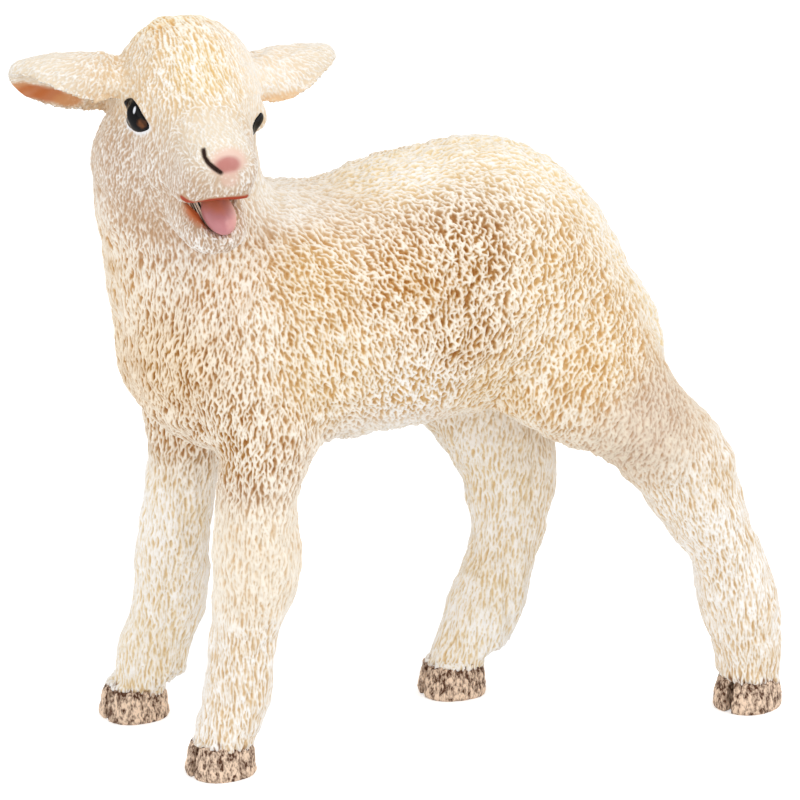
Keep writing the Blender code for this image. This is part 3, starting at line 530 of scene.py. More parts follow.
def stain_cuffs(mesh):
    """Washes the hoof's brown into the hollows of the hair, to an uneven height."""
    spots = points_of(mesh)
    for low, high in map(foot, HOOVES):
        beside, over = over_hem(spots, low, high)
        near = np.flatnonzero(beside)
        top = CUFF_RISE * (CUFF_HEIGHT_SHARE + uneven_round(spots[near], CUFF_GRAIN))
        share = np.clip((top - over[near]) / CUFF_FADE, 0.0, 1.0)
        paint_over(mesh, near, share, "hoof brown", ("hollow_paint",))


def tuck_hems(mesh):
    """Sinks the lower end of each lock of the hair into the horn, at its own height."""
    spots, facing = points_of(mesh), read(mesh, "out", 3)
    for low, high in map(foot, HOOVES):
        beside, over = over_hem(spots, low, high)
        near = np.flatnonzero(beside)
        over = over[near] + HEM_RAGGED * uneven_round(spots[near], HEM_GRAIN)
        spots[near] -= facing[near] * (HEM_TUCK * np.clip(1.0 - over / HEM_FADE, 0.0, 1.0))[:, None]
    move_points(mesh, spots)


shape_lids(skin.data)
comb_and_paint(skin.data)
fullness = read(skin.data, "thickness", 1)
even_out(skin.data, SMOOTHING_ROUNDS, np.clip(fullness, SMOOTHING_LEAST, SMOOTHING_MOST))
comb_and_paint(skin.data)
paint_spots(skin.data)
for across in (False, True):
    rim_eye(skin.data, across)
for line, bare in ((NOSTRIL_NEAR, BARE_LINE), (NOSTRIL_FAR, BARE_LINE), (LIP, BARE_LIP)):
    bare_line(skin.data, line, bare)
stain_cuffs(skin.data)

# Where one casting ends and the next begins
# Each casting keeps its own skin, so every face is given to the nearest CAD solid, and the long trunk
# and the head with its neck are parted once more across the body.
TRUNK_PARTS = ("breast", "shoulder", "ribs", "back", "loin", "haunch", "rump")
FACE_FROM = 4.0
THROAT = (3.5, 37.6)
THROAT_SLOPE = 0.42
BARE_HOOF = -1
FIRST_SKIN = {"trunk": "trunk_fleece_breast", "head": "head_hair_poll", "nose": "nose_pad",
              "tail": "tail_fleece"}
SKIN_PIECES = {
    # piece: the node that it replaces, its slot
    **{"trunk_fleece_" + part: ("trunk", "body_wool") for part in TRUNK_PARTS},
    "head_hair_face": ("head", "face_hair"), "head_hair_poll": ("head", "face_hair"),
    "neck_fleece": ("head", "body_wool"), "nose_pad": ("nose", "nose_pink"),
    **{ear + "_hair": (ear, "face_hair") for ear in ("ear_left", "ear_right")},
    "tail_fleece": ("tail", "body_wool"),
    **{leg + "_hair": (leg, "leg_hair") for leg in CASTINGS if "leg" in leg},
}
PIECE_NUMBERS = {name: k for k, name in enumerate(SKIN_PIECES)}


def nearest_casting(mesh):
    """The number of the CAD solid that is nearest to each face, and the faces' middles."""
    work = bmesh.new()
    owner = []
    for k, name in enumerate(CASTINGS):
        solid = object_from(cad_copy((name,)), "solid")
        work.from_mesh(solid.data)
        owner += [k] * len(solid.data.polygons)
        bpy.data.objects.remove(solid)
    tree = BVHTree.FromBMesh(work)
    work.free()
    centres = numbers_of(mesh.polygons, "center", 3)
    return np.array([owner[tree.find_nearest(spot)[2]] for spot in centres]), centres


def piece_of_face(mesh):
    """The number of the skin piece that each face goes to, or BARE_HOOF under the hem of the hair."""
    found, centres = nearest_casting(mesh)
    piece = np.array([PIECE_NUMBERS[FIRST_SKIN.get(n, n + "_hair")] for n in CASTINGS])[found]
    trunk = piece == PIECE_NUMBERS[FIRST_SKIN["trunk"]]
    cuts = np.quantile(centres[trunk, 1], np.linspace(0.0, 1.0, len(TRUNK_PARTS) + 1)[1:-1])
    piece[trunk] = np.searchsorted(cuts, centres[trunk, 1])
    head = piece == PIECE_NUMBERS[FIRST_SKIN["head"]]
    neck = head & (centres[:, 2] < THROAT[1] - THROAT_SLOPE * np.maximum(centres[:, 0] - THROAT[0], 0.0))
    piece[head & (centres[:, 0] > FACE_FROM)] = PIECE_NUMBERS["head_hair_face"]
    piece[neck] = PIECE_NUMBERS["neck_fleece"]
    for low, high in map(foot, HOOVES):
        beside, over = over_hem(centres, low, high)
        piece[beside & (over < 0.0)] = BARE_HOOF
    return piece


def without_strays(mesh, piece):
    """Each piece's skin in one patch: a stray patch goes to the piece that surrounds it."""
    work = bmesh.new()
    work.from_mesh(mesh)

    def beside(face):
        return [other for edge in face.edges for other in edge.link_faces]

    def alike(face):
        return [other for other in beside(face) if piece[other.index] == piece[face.index]]

    left, patches = set(work.faces), {}
    for start in work.faces:
        if start in left:
            patches.setdefault(piece[start.index], []).append(patch_of(start, left, alike))
    patches.pop(BARE_HOOF, None)
    for label, found in patches.items():
        found.sort(key=len)
        for patch in found[:-1]:
            around = [piece[other.index] for face in patch for other in beside(face)]
            around = [k for k in around if k != label]
            if around:
                piece[[face.index for face in patch]] = max(set(around), key=around.count)
    work.free()
    return piece


store(skin.data, "piece", "INT", without_strays(skin.data, piece_of_face(skin.data)), "FACE")

# The locks of wool
# Short bent locks are laid all over the skin along the combing, each dipping under at both ends, and the
# skin is raised to the round back of the nearest lock, which leaves the small pits between them.
LOCK_SIZES = {"Lock Spacing": 0.195, "Hair Spacing": 0.165, "Lock Length": 0.56, "Lock Bend": 0.16,
              "Lock Radius": 0.098, "Hair Radius": 0.058, "Hair Drop": 0.050, "Lock Dip": 0.10,
              "Lock Height": 0.02, "Relief": 2.2, "Sink": 0.12, "Tuft Height": 0.80,
              "Tufts Each Millimetre": 0.85}
LOCK_STEPS = 9
LOCK_SEED = 7
LOCK_TRIES = 1.6
DIP_POWER = 3.0
S_SHARE = 0.5
REACH_UP = 0.12
YAW = 0.60
SHORTEST, LONGEST = 0.7, 1.35
LEAST_BEND, MOST_BEND = -1.2, 1.2
LOWEST, HIGHEST = 0.6, 1.3
SHORT_COAT, THICK_COAT = 0.68, 0.78
BARE_COAT, FULL_COAT = 0.04, 0.2
THINNEST_LOCK = 0.1
HEIGHT_BLUR = 0.2
TUFT_DRAW = (1.0, 1.0, 0.6)
# each cloud or grain of a paint: its scale and detail, and each bump: its strength and depth
WOOL_PATCHES, PATCH_SHARE = (900.0, 2.0), 0.4
WOOL_WASH, WASH_SHARE = (230.0, 1.0), 0.35
HAIR_GRAIN = (5200.0, 2.0)
HAIR_BUMP = (0.12, 0.00006)
THIN_WASH_GAMMA = 0.55
WASH_THINS = (0.05, 0.58)
WASH_WIPED = (0.50, 0.98)
WOOL_ROUGHNESS = (0.55, 0.75)
WOOL_SHINE = 0.25


def put(tree, kind, values=(), **settings):
    """One node of a tree with its settings, and a link or a value for each named or numbered socket."""
    made = tree.nodes.new(kind)
    for name, value in settings.items():
        setattr(made, name, value)
    for name, value in dict(values).items():
        if isinstance(value, bpy.types.NodeSocket):
            tree.links.new(value, made.inputs[name])
        else:
            made.inputs[name].default_value = value
    return made


def maths(tree, operation, first, second=0.0, third=0.0, clamp=False):
    return put(tree, "ShaderNodeMath", {0: first, 1: second, 2: third},
               operation=operation, use_clamp=clamp).outputs[0]


def vectors(tree, operation, first, second=(0.0, 0.0, 0.0)):
    made = put(tree, "ShaderNodeVectorMath", {0: first, 1: second}, operation=operation)
    return made.outputs["Value" if operation in ("DOT_PRODUCT", "LENGTH") else "Vector"]


def scaled(tree, vector, factor):
    return put(tree, "ShaderNodeVectorMath", {0: vector, "Scale": factor}, operation="SCALE").outputs[0]


def ramp(tree, value, low, high, start=0.0, end=1.0):
    """From start to end while the value goes from low to high, and level outside."""
    return put(tree, "ShaderNodeMapRange", {0: value, 1: low, 2: high, 3: start, 4: end}).outputs[0]


def named(tree, name, kind="FLOAT"):
    return put(tree, "GeometryNodeInputNamedAttribute", {"Name": name}, data_type=kind).outputs[0]


def any_between(tree, low, high, seed):
    return put(tree, "FunctionNodeRandomValue", {2: low, 3: high, "Seed": seed}, data_type="FLOAT").outputs[1]


def kept_as(tree, geometry, name, value):
    """The geometry with this value written on its points."""
    return put(tree, "GeometryNodeStoreNamedAttribute", {"Geometry": geometry, "Name": name, "Value": value},
               data_type="FLOAT", domain="POINT").outputs[0]


def new_tree(name, sizes):
    """An empty tree of geometry nodes with a named input for each size."""
    tree = bpy.data.node_groups.new(name, "GeometryNodeTree")
    tree.interface.new_socket("Geometry", in_out="OUTPUT", socket_type="NodeSocketGeometry")
    inputs = [("Geometry", "Geometry")] + [(size, "Float") for size in sizes]
    for label, kind in inputs + [("Seed", "Int"), ("Paint", "Material")]:
        tree.interface.new_socket(label, in_out="INPUT", socket_type="NodeSocket" + kind)
    return tree, tree.nodes.new("NodeGroupInput").outputs


def lock_wire(tree, given):
    """One bent lock along X as a wire: an S and a C mixed by the instance's scale, both ends dipping."""
    step = (1.0 / (LOCK_STEPS - 1), 0.0, 0.0)
    line = put(tree, "GeometryNodeMeshLine",
               {"Count": LOCK_STEPS, "Start Location": (-0.5, 0.0, 0.0), "Offset": step},
               mode="OFFSET").outputs[0]
    spot = put(tree, "GeometryNodeInputPosition").outputs[0]
    along = put(tree, "ShaderNodeSeparateXYZ", {0: spot}).outputs[0]
    wave = maths(tree, "SINE", maths(tree, "MULTIPLY", along, 2.0 * math.pi))
    bow = maths(tree, "COSINE", maths(tree, "MULTIPLY", along, math.pi))
    side = maths(tree, "MULTIPLY", maths(tree, "MULTIPLY_ADD", wave, S_SHARE, bow), given["Lock Bend"])
    fall = maths(tree, "POWER", maths(tree, "ABSOLUTE", along), DIP_POWER)
    fall = maths(tree, "MULTIPLY", fall, 2.0 ** DIP_POWER)
    rise = maths(tree, "SUBTRACT", given["Lock Height"], maths(tree, "MULTIPLY", fall, given["Lock Dip"]))
    x = maths(tree, "MULTIPLY", along, given["Lock Length"])
    bent = put(tree, "ShaderNodeCombineXYZ", {0: x, 1: side, 2: rise}).outputs[0]
    return put(tree, "GeometryNodeSetPosition", {"Geometry": line, "Position": bent}).outputs[0]


def laid_locks(tree, skin_mesh, wire, spacing, share, drop, seed):
    """The wire laid all over the skin along the combing, each copy with its own turn, length and bend."""
    density = maths(tree, "DIVIDE", LOCK_TRIES, maths(tree, "MULTIPLY", spacing, spacing))
    spread = put(tree, "GeometryNodeDistributePointsOnFaces",
                 {"Mesh": skin_mesh, "Distance Min": spacing, "Density Max": density,
                  "Density Factor": share, "Seed": seed}, distribute_method="POISSON")
    turn = put(tree, "FunctionNodeAxesToRotation",
               {0: spread.outputs["Normal"], 1: named(tree, "comb", "FLOAT_VECTOR")},
               primary_axis="Z", secondary_axis="X").outputs[0]
    angle = maths(tree, "MULTIPLY", any_between(tree, -YAW, YAW, 1), named(tree, "straying"))
    yaw = put(tree, "FunctionNodeAxisAngleToRotation",
              {"Axis": (0.0, 0.0, 1.0), "Angle": angle}).outputs[0]
    turn = put(tree, "FunctionNodeRotateRotation", {0: turn, 1: yaw}, rotation_space="LOCAL").outputs[0]
    thickness, length = named(tree, "thickness"), named(tree, "length")
    long = maths(tree, "MULTIPLY", any_between(tree, SHORTEST, LONGEST, 2), length)
    wide = maths(tree, "MULTIPLY", any_between(tree, LEAST_BEND, MOST_BEND, 3), named(tree, "straying"))
    high = maths(tree, "MULTIPLY", any_between(tree, LOWEST, HIGHEST, 4), thickness)
    size = put(tree, "ShaderNodeCombineXYZ", {0: long, 1: wide, 2: high}).outputs[0]
    low = scaled(tree, spread.outputs["Normal"], maths(tree, "MULTIPLY", drop, -1.0))
    points = put(tree, "GeometryNodeSetPosition",
                 {"Geometry": spread.outputs["Points"], "Offset": low}).outputs[0]
    laid = put(tree, "GeometryNodeInstanceOnPoints",
               {"Points": points, "Instance": wire, "Rotation": turn, "Scale": size}).outputs[0]
    return put(tree, "GeometryNodeRealizeInstances", {0: laid}).outputs[0]


def raised_backs(tree, strands, spot, facing, width, relief):
    """Height of the round back of the nearest strand over each spot, or 0 where none reaches."""
    query = vectors(tree, "ADD", spot, scaled(tree, facing, REACH_UP))
    near = put(tree, "GeometryNodeProximity", {0: strands, 2: query}, target_element="EDGES").outputs[0]
    offset = vectors(tree, "SUBTRACT", near, spot)
    up = vectors(tree, "DOT_PRODUCT", offset, facing)
    side = vectors(tree, "LENGTH", vectors(tree, "SUBTRACT", offset, scaled(tree, facing, up)))
    away = maths(tree, "DIVIDE", side, width)
    round_back = maths(tree, "SUBTRACT", 1.0, maths(tree, "MULTIPLY", away, away))
    back = maths(tree, "MULTIPLY_ADD", round_back, maths(tree, "MULTIPLY", width, relief), up)
    covered = maths(tree, "LESS_THAN", away, 1.0)
    return maths(tree, "MULTIPLY", maths(tree, "MAXIMUM", back, 0.0), covered)


def wool_tree():
    """Lays the locks and the fine hair between them, and raises the skin to their backs."""
    tree, given = new_tree("combed_wool", LOCK_SIZES)
    thickness = named(tree, "thickness")
    wire = lock_wire(tree, given)
    thick_share = ramp(tree, thickness, SHORT_COAT, THICK_COAT)
    locks = laid_locks(tree, given["Geometry"], wire, given["Lock Spacing"], thick_share, 0.0, given["Seed"])
    drop = maths(tree, "MULTIPLY", given["Hair Drop"], thick_share)
    hair_seed = maths(tree, "ADD", given["Seed"], 1.0)
    hairs = laid_locks(tree, given["Geometry"], wire, given["Hair Spacing"], 1.0, drop, hair_seed)
    fine = put(tree, "GeometryNodeSubdivisionSurface", {"Mesh": given["Geometry"], "Level": 1}).outputs[0]
    spot = put(tree, "GeometryNodeInputPosition").outputs[0]
    facing = put(tree, "GeometryNodeInputNormal").outputs[0]
    build = maths(tree, "MAXIMUM", thickness, THINNEST_LOCK)
    width = maths(tree, "MULTIPLY", given["Lock Radius"], build)
    thin = maths(tree, "MINIMUM", width, given["Hair Radius"])
    height = maths(tree, "MAXIMUM", raised_backs(tree, locks, spot, facing, width, given["Relief"]),
                   raised_backs(tree, hairs, spot, facing, thin, given["Relief"]))
    height = maths(tree, "MULTIPLY", height, ramp(tree, thickness, BARE_COAT, FULL_COAT))
    height = put(tree, "GeometryNodeBlurAttribute", {"Value": height, "Iterations": 1, "Weight": HEIGHT_BLUR},
                 data_type="FLOAT").outputs[0]
    carved = kept_as(tree, fine, "height", height)
    height = named(tree, "height")
    crest = maths(tree, "DIVIDE", height, maths(tree, "MULTIPLY", width, given["Relief"]), clamp=True)
    marked = kept_as(tree, carved, "crest", crest)
    drawn = vectors(tree, "MULTIPLY", spot, TUFT_DRAW)
    tufts = put(tree, "ShaderNodeTexNoise",
                {"Vector": drawn, "Scale": given["Tufts Each Millimetre"], "Detail": 1.0}).outputs[0]
    tuft = maths(tree, "MULTIPLY", maths(tree, "SUBTRACT", tufts, 0.5), given["Tuft Height"])
    sunk = maths(tree, "MULTIPLY", maths(tree, "SUBTRACT", tuft, given["Sink"]), thickness)
    lift = scaled(tree, facing, maths(tree, "ADD", height, sunk))
    raised = put(tree, "GeometryNodeSetPosition", {"Geometry": marked, "Offset": lift}).outputs[0]
    smooth = put(tree, "GeometryNodeSetShadeSmooth", {"Geometry": raised, "Shade Smooth": True}).outputs[0]
    whole = put(tree, "GeometryNodeRealizeInstances", {0: smooth}).outputs[0]
    painted = put(tree, "GeometryNodeSetMaterial", {"Geometry": whole, "Material": given["Paint"]}).outputs[0]
    tree.links.new(painted, tree.nodes.new("NodeGroupOutput").inputs[0])
    return tree


def set_inputs(modifier, tree, values):
    """Sets the modifier's inputs by the names of the tree's sockets."""
    for socket in tree.interface.items_tree:
        if socket.in_out == "INPUT" and socket.name in values:
            modifier[socket.identifier] = values[socket.name]


def new_paint(name):
    """A new material, its tree, its shader's inputs, and each point's place on the object."""
    made = bpy.data.materials.new(name)
    made.use_nodes = True
    spot = put(made.node_tree, "ShaderNodeTexCoord").outputs["Object"]
    return made, made.node_tree, made.node_tree.nodes["Principled BSDF"].inputs, spot


def cloud_at(tree, spot, scale, detail):
    return put(tree, "ShaderNodeTexNoise", {"Vector": spot, "Scale": scale, "Detail": detail}).outputs["Fac"]


def blended(tree, share, first, second):
    return put(tree, "ShaderNodeMix", {0: share, 6: first, 7: second}, data_type="RGBA").outputs[2]


def add_bump(tree, inputs, grain, strength, depth):
    bump = put(tree, "ShaderNodeBump", {"Height": grain, "Strength": strength, "Distance": depth}).outputs[0]
    tree.links.new(bump, inputs["Normal"])


def wool_paint():
    """Matt cream PVC with a thin tan wash in the hollows and a fine grain of hair."""
    made, tree, inputs, spot = new_paint("painted_wool")
    crest = put(tree, "ShaderNodeAttribute", attribute_name="crest").outputs["Fac"]
    hollow = put(tree, "ShaderNodeAttribute", attribute_name="hollow_paint").outputs["Color"]
    top = put(tree, "ShaderNodeAttribute", attribute_name="crest_paint").outputs["Color"]
    fade = crest
    for cloud, share in ((WOOL_PATCHES, PATCH_SHARE), (WOOL_WASH, WASH_SHARE)):
        uneven = maths(tree, "SUBTRACT", cloud_at(tree, spot, *cloud), 0.5)
        fade = maths(tree, "MULTIPLY_ADD", uneven, share, fade)
    thin = put(tree, "ShaderNodeGamma", {0: hollow, 1: THIN_WASH_GAMMA}).outputs[0]
    colour = blended(tree, ramp(tree, fade, *WASH_THINS), hollow, thin)
    colour = blended(tree, ramp(tree, fade, *WASH_WIPED), colour, top)
    tree.links.new(colour, inputs["Base Color"])
    grain = cloud_at(tree, spot, *HAIR_GRAIN)
    add_bump(tree, inputs, grain, *HAIR_BUMP)
    tree.links.new(ramp(tree, grain, 0.0, 1.0, *WOOL_ROUGHNESS), inputs["Roughness"])
    inputs["Specular IOR Level"].default_value = WOOL_SHINE
    return made


WOOL_PAINT = wool_paint()
WOOL_TREE = wool_tree()
store(skin.data, "out", "FLOAT_VECTOR", normals_of(skin.data))
wool = skin.modifiers.new("wool", "NODES")
wool.node_group = WOOL_TREE
set_inputs(wool, WOOL_TREE, dict(LOCK_SIZES, Seed=LOCK_SEED, Paint=WOOL_PAINT))
apply_modifiers(skin)
tuck_hems(skin.data)

# The nostrils and the lip
# Each nostril of the real lamb is a short comma cut into the muzzle beside the pink pad and filled with
# dark brown paint. The edge of the lip is a shallow groove with red paint in it.
NOSTRIL_WIDTH = 0.15
NOSTRIL_DEPTH = 0.22
NOSTRIL_PAINT_WIDTH = 0.17
LIP_WIDTH = 0.26
LIP_DEPTH = 0.06
PAINT_EDGE_SHARE, PAINT_FADE_SHARE = 1.25, 0.5


def carve_line(mesh, line, width, depth, paint_width, paint):
    """Cuts a groove along a bent line and fills it with paint that has a soft edge."""
    spots, facing = points_of(mesh), normals_of(mesh)
    near = by_line(spots, line)
    away = off_line(spots[near], line)
    spots[near] -= facing[near] * (depth * np.exp(-(away / width) ** 2))[:, None]
    move_points(mesh, spots)
    share = (paint_width * PAINT_EDGE_SHARE - away) / (paint_width * PAINT_FADE_SHARE)
    paint_over(mesh, near, np.clip(share, 0.0, 1.0), paint)


for line in (NOSTRIL_NEAR, NOSTRIL_FAR):
    carve_line(skin.data, line, NOSTRIL_WIDTH, NOSTRIL_DEPTH, NOSTRIL_PAINT_WIDTH, "nostril brown")
carve_line(skin.data, LIP, LIP_WIDTH, LIP_DEPTH, LIP_WIDTH, "lip red")

# The castings' own skins
# The real castings are glued at their seams, which the wool hides. Each is closed on its own here: its
# cut edge is tucked under the skin of its neighbour, and then filled.
SEAM_TUCK = 0.0007


def close_seam(mesh, outward):
    """Tucks every open edge loop under the skin and fills it, so that the casting is closed."""
    work = bmesh.new()
    work.from_mesh(mesh)
    work.verts.ensure_lookup_table()
    left = {e for e in work.edges if e.is_boundary}
    while left:
        ring = patch_of(left.pop(), left, lambda edge: [e for v in edge.verts for e in v.link_edges])
        under = {v: work.verts.new(v.co - Vector(outward[v.index]) * SEAM_TUCK, v)
                 for e in ring for v in e.verts}
        inner = []
        for edge in ring:
            loop = edge.link_loops[0]
            a, b = loop.link_loop_next.vert, loop.vert
            work.faces.new((a, b, under[b], under[a]))
            inner.append(work.edges.get((under[a], under[b])))
        filled = bmesh.ops.triangle_fill(work, use_beauty=False, use_dissolve=False, edges=inner)["geom"]
        faces = [g for g in filled if isinstance(g, bmesh.types.BMFace)]
        if any(e.is_manifold and not e.is_contiguous for e in inner):
            bmesh.ops.reverse_faces(work, faces=faces)
        if not all(e.is_manifold for e in inner):
            print("seam left open:", mesh.name, sum(not e.is_manifold for e in inner), len(inner))
    work.to_mesh(mesh)
    work.free()


def finish_piece(obj, name, nodes):
    """Names a piece, hangs it from the root body, and hides the CAD nodes that it stands for."""
    obj.name = obj.data.name = name
    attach(obj, "root")
    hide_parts(*nodes)


def shade_smooth(mesh):
    mesh.polygons.foreach_set("use_smooth", np.ones(len(mesh.polygons), dtype=bool))


def part_skin(full):
    """Cuts the woolly skin into the castings' own skins, each with its paints and a closed seam."""
    spots, facing = points_of(full), normals_of(full)
    quads = numbers_of(full.loops, "vertex_index", 1, np.int32).reshape(-1, 4)
    piece, smooth_facing = read(full, "piece", 1, np.int32), read(full, "out", 3)
    smooth_facing /= np.linalg.norm(smooth_facing, axis=1)[:, None]
    layers = {"crest": ("FLOAT", read(full, "crest", 1)),
              "hollow_paint": ("FLOAT_COLOR", read(full, "hollow_paint", 4)),
              "crest_paint": ("FLOAT_COLOR", read(full, "crest_paint", 4))}
    for name, (node, slot) in SKIN_PIECES.items():
        chosen = quads[piece == PIECE_NUMBERS[name]]
        if not len(chosen):
            raise SystemExit(f"no skin for {name}")
        used, corners = np.unique(chosen, return_inverse=True)
        mesh = bpy.data.meshes.new(name)
        mesh.vertices.add(len(used))
        mesh.vertices.foreach_set("co", (spots[used] / MILLIMETRES).astype(np.float32).ravel())
        mesh.loops.add(chosen.size)
        mesh.loops.foreach_set("vertex_index", corners.ravel().astype(np.int32))
        mesh.polygons.add(len(chosen))
        mesh.polygons.foreach_set("loop_start", np.arange(0, chosen.size, 4, dtype=np.int32))
        mesh.update(calc_edges=True)
        shade_smooth(mesh)
        for label, (kind, values) in layers.items():
            store(mesh, label, kind, values[used])
        close_seam(mesh, smooth_facing[used])
        mesh.normals_split_custom_set_from_vertices(
            np.concatenate([facing[used], np.zeros((len(mesh.vertices) - len(used), 3))]))
        mesh.materials.append(WOOL_PAINT)
        finish_piece(placed(name, mesh), name, (node,))


part_skin(skin.data)

# The eyes
# The real eyes are gloss black paint on a raised lens: a leaf with a straight upper front edge, a pointed
# front corner and a bite at the back.
EYE_RINGS = 10
EYE_STEPS = 6
EYE_ROOT = 0.35
DROP_HEIGHT = 1.5
# The near eye's white fleck is a painted highlight, and its brown spot is a painted reflection.
EYE_PAINTED_HIGHLIGHT = ((0.34, 0.46), (0.10, 0.26))
EYE_PAINTED_REFLECTION = ((0.84, -0.36), (0.36, 0.40))
EYE_SPOT_FADE = 0.6
BROWN_CLOUD, BROWN_SHARES = (2600.0, 1.0), (0.35, 0.75)
# black paint, the brown of the painted reflection and the white of the painted highlight
PUPIL_BLACK, REFLECTION_BROWN, PAINTED_HIGHLIGHT_WHITE = (8, 8, 10), (122, 76, 46), (225, 228, 235)
EYE_ROUGHNESS = 0.08
EYE_SHINE = 0.10
LENSES = (
    # node, whether it is across the head, outline, height of the edge, bulge over it
    ("eye_right", False, EYE_OUTLINE, 0.07, 0.14),
    ("eye_left", True, FAR_EYE_OUTLINE, 0.05, 0.04),
)


def rounded_loop(points, steps):
    """A closed loop through the points, rounded by a Catmull-Rom spline."""
    made, count = [], len(points)
    for i in range(count):
        a, b, c, d = (np.array(points[(i + k) % count]) for k in (-1, 0, 1, 2))
        for k in range(steps):
            t = k / steps
            made.append(0.5 * (2 * b + (c - a) * t + (2 * a - 5 * b + 4 * c - d) * t ** 2
                               + (3 * b - a - 3 * c + d) * t ** 3))
    return made


def shade(display):
    """A colour as a shader's input takes it."""
    return (*linear(display), 1.0)


def near_spot(tree, spot, place, size):
    """1 at a place on the near eye's face, fading to 0 at its own size away."""
    centre, (along, up, _) = eye_frame(False)
    centre = (centre + along * place[0] + up * place[1]) / MILLIMETRES
    offset = vectors(tree, "SUBTRACT", spot, tuple(centre))
    sides = [maths(tree, "DIVIDE", vectors(tree, "DOT_PRODUCT", offset, tuple(axis)), length / MILLIMETRES)
             for axis, length in ((along, size[0]), (up, size[1]))]
    away = vectors(tree, "LENGTH", put(tree, "ShaderNodeCombineXYZ", {0: sides[0], 1: sides[1]}).outputs[0])
    return ramp(tree, away, 1.0, EYE_SPOT_FADE)


def eye_paint():
    """Gloss black with a cloudy brown painted reflection and a white painted highlight."""
    made, tree, inputs, spot = new_paint("eye_gloss_black")
    share = ramp(tree, cloud_at(tree, spot, *BROWN_CLOUD), *BROWN_SHARES)
    brown = maths(tree, "MULTIPLY", share, near_spot(tree, spot, *EYE_PAINTED_REFLECTION))
    colour = blended(tree, brown, shade(PUPIL_BLACK), shade(REFLECTION_BROWN))
    colour = blended(tree, near_spot(tree, spot, *EYE_PAINTED_HIGHLIGHT), colour, shade(PAINTED_HIGHLIGHT_WHITE))
    tree.links.new(colour, inputs["Base Color"])
    inputs["Roughness"].default_value = EYE_ROUGHNESS
    inputs["Specular IOR Level"].default_value = EYE_SHINE
    return made


def eye_lens(name, across, outline, edge, bulge):
    """A domed lens on the skin inside the outline, with a root that goes under the skin."""
    centre, (along, up, out) = eye_frame(across)
    loop = rounded_loop(outline, EYE_STEPS)
    middle, inward = np.mean(outline, axis=0), Vector(-out)
    work = bmesh.new()
    rings = []
    for k in range(EYE_RINGS + 2):
        share = min(1.0, (EYE_RINGS + 1 - k) / EYE_RINGS) if k else 1.0
        ring = []
        for a, u in loop if share > 0.0 else [middle]:
            a, u = middle + (np.array((a, u)) - middle) * share
            above = centre + along * a + up * u + out * DROP_HEIGHT
            hit = SKIN_TREE.ray_cast(Vector(above), inward)[0]
            rise = -EYE_ROOT if k == 0 else edge + bulge * (1.0 - share ** 2)
            ring.append(work.verts.new(hit - inward.normalized() * rise))
        rings.append(ring)
    for outer, inner in zip(rings[:-1], rings[1:]):
        for i in range(len(outer)):
            j = (i + 1) % len(outer)
            if len(inner) == 1:
                work.faces.new((outer[i], outer[j], inner[0]))
            else:
                work.faces.new((outer[i], outer[j], inner[j], inner[i]))
    work.faces.new(reversed(rings[0]))
    bmesh.ops.recalc_face_normals(work, faces=work.faces)
    for face in work.faces:
        face.smooth = True
    bmesh.ops.scale(work, vec=Vector((1.0 / MILLIMETRES,) * 3), verts=work.verts)
    made = object_from(work, name)
    made.data.materials.append(EYE_PAINT)
    return made


whole = bmesh.new()
whole.from_mesh(skin.data)
SKIN_TREE = BVHTree.FromBMesh(whole)
whole.free()
bpy.data.objects.remove(skin)
EYE_PAINT = eye_paint()
for node, *shape in LENSES:
    finish_piece(eye_lens(node + "_lens", *shape), node + "_lens", (node,))

# The hooves
# Each hoof is rough brown horn, cloven in front. It is moulded in pale PVC and painted with a dark wash that
# settles in its pits, and it is darker toward its top edge.
HOOF_VOXEL = 0.12
HOOF_ROUGHNESS = 0.10
HOOF_GRAIN = 3.4
HOOF_GRAIN_DRAW = 0.5
HOOF_FRACTAL = (0.9, 2.0, 3)
HOOF_SMOOTHING, HOOF_SMOOTHING_SHARE = 2, 0.5
SOLE_FADE = 0.3
HOOF_UNDER_HAIR = 0.16
HORN_STREAKS, STREAK_DRAW = (9000.0, 2.0), (1.0, 1.0, 0.5)
HORN_PATCHES, HORN_PATCH_SHARE = (1100.0, 2.0), 0.25
HORN_DEPTH_SHARE = 0.40
# between these two heights the horn darkens toward its top, from nothing to this share
HORN_RIM = (0.0012, 0.0021, 0.0, 0.14)
HORN_WASH = (0.58, 1.00)
HORN_DARK, HORN_PALE = (80, 46, 24), (246, 218, 192)
HORN_BUMP = (0.5, 0.0001)
HORN_MATT = 0.7
HORN_SHINE = 0.3


def hoof_paint():
    """Pale horn with dark streaks that run down it, darker toward its top edge."""
    made, tree, inputs, spot = new_paint("hoof_horn")
    drawn = put(tree, "ShaderNodeMapping", {"Vector": spot, "Scale": STREAK_DRAW}).outputs[0]
    streak = cloud_at(tree, drawn, *HORN_STREAKS)
    up = put(tree, "ShaderNodeSeparateXYZ", {0: spot}).outputs[2]
    depth = put(tree, "ShaderNodeAttribute", attribute_name="crest").outputs["Fac"]
    pale = maths(tree, "MULTIPLY_ADD", cloud_at(tree, spot, *HORN_PATCHES), HORN_PATCH_SHARE, streak)
    pale = maths(tree, "MULTIPLY_ADD", depth, HORN_DEPTH_SHARE, pale)
    pale = maths(tree, "SUBTRACT", pale, ramp(tree, up, *HORN_RIM))
    colour = blended(tree, ramp(tree, pale, *HORN_WASH), shade(HORN_DARK), shade(HORN_PALE))
    tree.links.new(colour, inputs["Base Color"])
    add_bump(tree, inputs, streak, *HORN_BUMP)
    inputs["Roughness"].default_value = HORN_MATT
    inputs["Specular IOR Level"].default_value = HORN_SHINE
    return made


